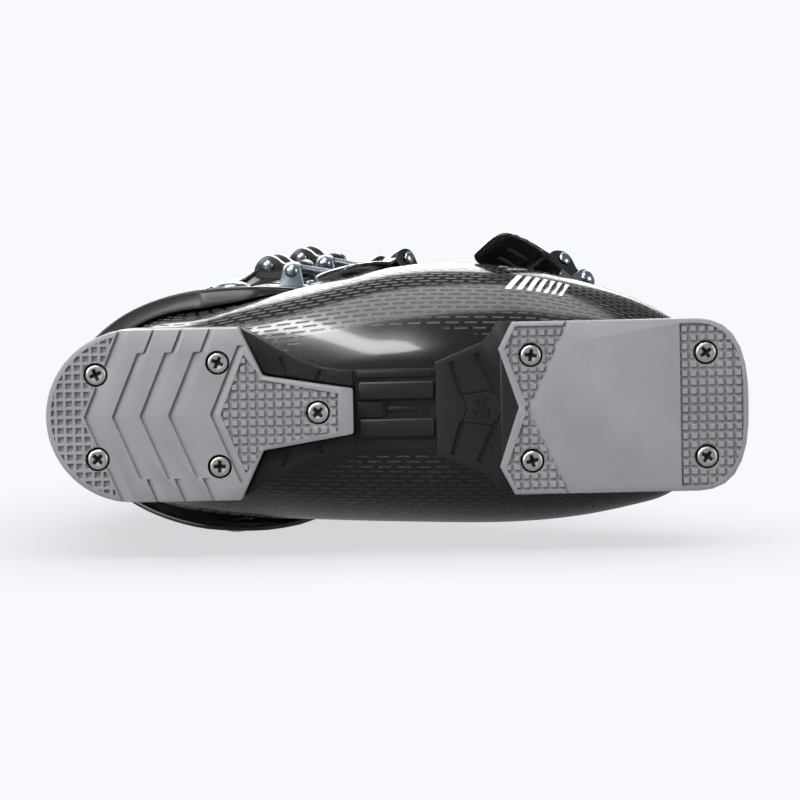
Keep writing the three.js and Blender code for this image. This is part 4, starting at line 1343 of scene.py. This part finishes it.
def dome(name, axes, centre, direction, radius, height):
    # a rivet head: the top of a ball, flattened and closed underneath
    bpy.ops.object.select_all(action="DESELECT")
    bpy.ops.mesh.primitive_uv_sphere_add(segments=28, ring_count=16, radius=1)
    obj = bpy.context.object
    obj.name = name
    editAll(obj)
    bpy.ops.mesh.bisect(plane_co=(0, 0, 0), plane_no=(0, 0, 1), use_fill=True, clear_inner=True)
    leaveEdit()
    out = (axes.to_3x3() @ Vector(direction)).normalized()
    turn = out.to_track_quat("Z", "Y").to_matrix().to_4x4()
    obj.data.transform(Matrix.Diagonal((radius * mm, radius * mm, height * mm, 1)))
    obj.data.transform(Matrix.Translation(axes @ Vector(centre)) @ turn)
    return obj


def tube(name, path, radius, sides=14):
    # a rod swept along points of the frame
    rings = []
    side = None
    for i, here in enumerate(path):
        ahead = (path[min(i + 1, len(path) - 1)] - path[max(i - 1, 0)]).normalized()
        if side is None:
            side = ahead.orthogonal().normalized()
        side = (side - ahead * side.dot(ahead)).normalized()
        other = ahead.cross(side)
        rings.append(hoop(here, side, other, radius, sides))
    return skinned(name, rings)


def smoothPath(points, fill=8):
    # a smooth open path through points
    made = []
    last = len(points) - 1
    for i in range(last):
        p, q, r, s = (points[min(max(i + k, 0), last)] for k in (-1, 0, 1, 2))
        made += [between4(p, q, r, s, k / fill) for k in range(fill)]
    return made + [points[-1]]


def makeBracket(name, run, axes):
    earOut = buckle["earInside"] + buckle["ear"]
    arch = [(4.4 * math.cos(t), buckle["pinHeight"] + 4.2 * math.sin(t))
            for t in (math.pi * i / 14 for i in range(15))]
    ear = [(7.2, -4), (5.6, 3)] + arch + [(-5.6, 3), (-7.2, -4)]
    parts = []
    for low, high in ((buckle["earInside"], earOut), (-earOut, -buckle["earInside"])):
        parts.append(bevelled(sideSlab("ear", axes, ear, low, high), 0.45, 3, 50))
    base = sideSlab("base", axes, rectangle(-11, 8.5, -2.2, 1.6), -earOut, earOut)
    parts.append(bevelled(base, 0.5, 3, 50))
    bracket = joined(parts[0], parts[1:])
    bracket.name = f"{name}_bracketSteel"
    smoothShade(bracket, 35)
    dress(bracket, looks["steel"], "buckle_steel", run["body"], f"{name}_bracket")
    for count, side in ((1, 1), (2, -1)):
        out = earOut * side
        bar = pin("bar", axes, (0, buckle["pinHeight"], (buckle["cheekInside"] + 0.3) * side),
                  (0, buckle["pinHeight"], out + 0.4 * side), buckle["pin"])
        head = dome("head", axes, (0, buckle["pinHeight"], out + 0.15 * side), (0, 0, side), 3.1, 1.9)
        bar = joined(bar, [head])
        bar.name = f"{name}_pinHead{count}"
        smoothShade(bar, 40)
        dress(bar, looks["steel"], "buckle_steel", run["body"], f"{name}_pin_{count}")
    head = dome(f"{name}_rivetHead", axes, (4.5, 1.75, 0), (0, 1, 0), 3.0, 1.3)
    smoothShade(head, 40)
    dress(head, looks["steel"], "buckle_steel", run["body"], f"{name}_bracket_rivet")


# shares of the way along the adjuster, with radii
nutProfile = ((0.68, 3.2), (0.70, 3.7), (0.86, 3.7), (0.88, 3.3), (0.9, 3.7), (0.99, 3.7), (1.0, 3.2))


def ease(t):
    t = min(max(t, 0), 1)
    return t * t * (3 - 2 * t)


def roundedRing(half, thick, sides=36):
    # a flat section with round edges, as shares of its half width and half thickness
    made = []
    for i in range(sides):
        turn = 2 * math.pi * i / sides
        made.append((power(math.cos(turn), min(1, thick / half)), power(math.sin(turn), 0.6)))
    return made


def surfaceUnder(run, axes):
    # the body's surface behind a bracket, in the bracket's own millimetres
    inverse = axes.inverted()
    return [inverse @ (millimetres @ toFrame(onRun(run, -i / 50, 0, j / 16)))
            for i in range(60) for j in range(-12, 13)]


def makeLever(name, run, axes):
    bar = (-buckle["throw"], buckle["pinHeight"] + 2)
    end = run["tip"]
    cheek = curveThrough([(3.4, 5.2), (3.2, 9.4), (0.6, 11.4), (-4.6, 10.7), (bar[0] + 3.4, bar[1] + 3.7),
                          (bar[0], bar[1] + 4.6), (bar[0] - 3.6, bar[1] + 2.9), (bar[0] - 6.2, bar[1] - 0.8),
                          (bar[0] - 6.2, 4.0), (-12, 3.4), (-5, 3.4), (0.4, 3.5)], 4)
    parts = []
    near, far = buckle["cheekInside"], buckle["leverHalf"]
    for low, high in ((near, far), (-far, -near)):
        side = sideSlab("cheek", axes, cheek, low, high)
        parts.append(bevelled(side, 0.5, 3, 50))
    # the blade follows the surface, flares past the ears and rounds off at its tip
    places = surfaceUnder(run, axes)
    rings = []
    for i in range(37):
        t = 1 - (1 - i / 36) ** 1.5
        here = -10.5 + (end + 10.5) * t
        under = [y for x, y, z in places if abs(x - here) < 3 and abs(z) < buckle["bladeWide"]]
        floor = max(under) + run["bladeGap"]
        floor += (1 - ease(t / 0.42)) * (8.6 - floor)
        half = 8.9 + 3.1 * ease((t - 0.12) / 0.3)
        half *= 0.35 + 0.65 * math.sqrt(max(0, 1 - max(0, (t - 0.78) / 0.22) ** 2.4))
        thick = 3.2 - 0.9 * ease((t - 0.3) / 0.6) - 0.9 * max(0, (t - 0.92) / 0.08) ** 2
        rings.append([axes @ Vector((here, floor + thick / 2 + b * thick / 2 - 0.5 * a * a, a * half))
                      for a, b in roundedRing(half, thick)])
    blade = skinned("blade", rings)
    for low, high in ((2.4, 4.4), (-4.4, -2.4)):
        start, stop = end + buckle["slotStart"], end + buckle["slotEnd"]
        combined(blade, sideSlab("slot", axes, rectangle(start, stop, -40, 30), low, high))
    parts.append(blade)
    lever = joined(parts[0], parts[1:])
    lever.name = f"{name}_leverPlate"
    smoothShade(lever, 35)
    dress(lever, looks["lever"], "lever_black", f"{name}_lever", f"{name}_lever")


def acrossAt(run, share):
    return (axesAt(run, share).to_3x3() @ Vector((0, 0, 1))).normalized()


def adjuster(start, reach):
    # a core with turned ridges, and a nut
    direction = reach.normalized()
    length = reach.length / mm
    side = direction.orthogonal().normalized()
    other = direction.cross(side)
    rings = []
    travel = 2.6
    while travel < length - 1:
        ridged = 4 <= travel <= length * 0.66
        radius = buckle["thread"] if ridged else 2.2
        crest = radius + (buckle["ridge"] if ridged else 0)
        rings.append(hoop(start + direction * travel * mm, side, other, radius, 20))
        rings.append(hoop(start + direction * (travel + buckle["pitch"] / 2) * mm, side, other, crest, 20))
        travel += buckle["pitch"]
    nut = [hoop(start + reach * place, side, other, radius, 24) for place, radius in nutProfile]
    return [skinned("thread", rings), skinned("nut", nut)]


def makeBail(name, run, axes):
    bar = Vector((-buckle["throw"], buckle["pinHeight"] + 2, 0))
    reach = buckle["leverHalf"] + 0.8
    low, high = bar.copy(), bar.copy()
    low.z, high.z = -reach, reach
    parts = [pin("bar", axes, low, high, buckle["pin"])]
    for side in (1, -1):
        parts.append(dome("barHead", axes, (bar.x, bar.y, side * (reach - 0.2)), (0, 0, side), 2.7, 1.3))
    eye = pin("eye", axes, (bar.x, bar.y, -4.4), (bar.x, bar.y, 4.4), 3)
    parts.append(bevelled(eye, 0.5, 2, 50))
    middle = toFrame(onRun(run, 0.5))
    span = (toFrame(onRun(run, 0)) - middle).length + (middle - toFrame(onRun(run, 1))).length
    share = buckle["yokeAt"] / span
    yokeMiddle = millimetres @ toFrame(onRun(run, share, buckle["yokeLift"]))
    start = axes @ bar
    across = acrossAt(run, share)
    parts += adjuster(start, yokeMiddle - start)
    yokeReach = (buckle["wireSpread"] + 1.4) * mm
    ends = [yokeMiddle - across * yokeReach, yokeMiddle + across * yokeReach]
    yoke = tube("yoke", [ends[0], (ends[0] + ends[1]) / 2, ends[1]], 2.9, 24)
    parts.append(bevelled(yoke, 0.5, 3, 50))
    ride = buckle["ladderTop"] + buckle["slip"] + buckle["wire"]

    def wireSide(sign):
        places = []
        for t in (0, 0.25, 0.5, 0.75, 0.97):
            s = share + (1 - share) * t
            lift = buckle["yokeLift"] + (ride - buckle["yokeLift"]) * min(1, t * 1.6)
            beside = acrossAt(run, s) * sign * buckle["wireSpread"] * mm
            places.append(millimetres @ toFrame(onRun(run, s, lift)) + beside)
        return places

    far = axesAt(run, 1)
    corners = [far @ Vector((0, ride, sign * (buckle["wireSpread"] - 1.5))) for sign in (-1, 1)]
    path = wireSide(-1) + corners + list(reversed(wireSide(1)))
    parts.append(tube("wire", smoothPath(path, 7), buckle["wire"], 14))
    bail = joined(parts[0], parts[1:])
    bail.name = f"{name}_bailWire"
    smoothShade(bail, 40)
    dress(bail, looks["steel"], "buckle_steel", f"{name}_bail", f"{name}_bail")


def makeLadder(name, run):
    # the toothed catch: the CAD form with eased edges, and its rivet
    ladder = cadCopy(f"{name}_ladder", f"{name}_catch")
    applied(ladder, "DECIMATE", decimate_type="DISSOLVE", angle_limit=math.radians(1))
    bevelled(ladder, 0.3, 2, 40)
    smoothShade(ladder, 35)
    dress(ladder, looks["steel"], "buckle_steel", run["body"], f"{name}_ladder")
    seat = (16.5, buckle["ladderTop"] + 0.2, 0)
    head = dome(f"{name}_catchRivet", axesAt(run, 1), seat, (0, 1, 0), 3.0, 1.3)
    smoothShade(head, 40)
    dress(head, looks["steel"], "buckle_steel", run["body"], f"{name}_ladder_rivet")


for name, values in buckleRuns.items():
    run = dict(zip(runKeys, values))
    axes = axesAt(run, 0)
    makeBracket(name, run, axes)
    makeLever(name, run, axes)
    makeBail(name, run, axes)
    makeLadder(name, run)
    print("buckle made:", name)


pivot = {"radius": 7.2, "height": 2.6, "washer": 8.2, "sunk": 2.2}


def makePivots():
    for side, node in ((-1, "cuff_pivot_lateral"), (1, "cuff_pivot_medial")):
        lowEnd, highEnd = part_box(node)
        outer = lowEnd.x if side < 0 else highEnd.x
        centre = (lowEnd + highEnd) / 2
        centre.x = outer - side * pivot["sunk"] * mm
        turn = Matrix.Translation(centre) @ Matrix.Scale(mm, 4)
        head = dome(node + "_head", turn, (0, 0, 0), (side, 0, 0), pivot["radius"], pivot["height"])
        washer = pin("washer", turn, (-side * 2.6, 0, 0), (side * 0.3, 0, 0), pivot["washer"], 40)
        joined(head, [bevelled(washer, 0.5, 3, 50)])
        smoothShade(head, 40)
        dress(head, looks["steel"], "buckle_steel", "shell", node)


makePivots()
for node, look in (("bootboard", "board"), ("insole", "felt")):
    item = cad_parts[node]
    item.data.materials.clear()
    item.data.materials.append(looks[look])
print("pivots made")

markBars = {"place": 5.05, "angles": (202, 217), "bars": 7, "pitch": 0.13, "wide": 0.07, "slant": 0.16,
            "low": 0.02, "high": 0.25}


def makeMark():
    # plain slanted bars, lying on the shell
    parts = []
    first, last = markBars["angles"]
    edge = ((0, 0), (0, 1), (0.5, 1), (1, 1), (1, 0), (0.5, 0))  # share of the length, side of the bar
    for i in range(markBars["bars"]):
        base = markBars["place"] + i * markBars["pitch"]
        rings = []
        for lift in (markBars["low"], markBars["high"]):
            ring = []
            for share, side in edge:
                row = rowAt(shellRows, base + side * markBars["wide"] + markBars["slant"] * share)
                ring.append(spot(*onSlice(row, math.radians(first + (last - first) * share), lift)))
            rings.append(ring)
        parts.append(skinned("bar", rings))
    mark = joined(parts[0], parts[1:])
    mark.name = "forefootBars"
    mark.data.materials.append(looks["mark"])
    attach(mark, "shell")


makeMark()
print("mark made")
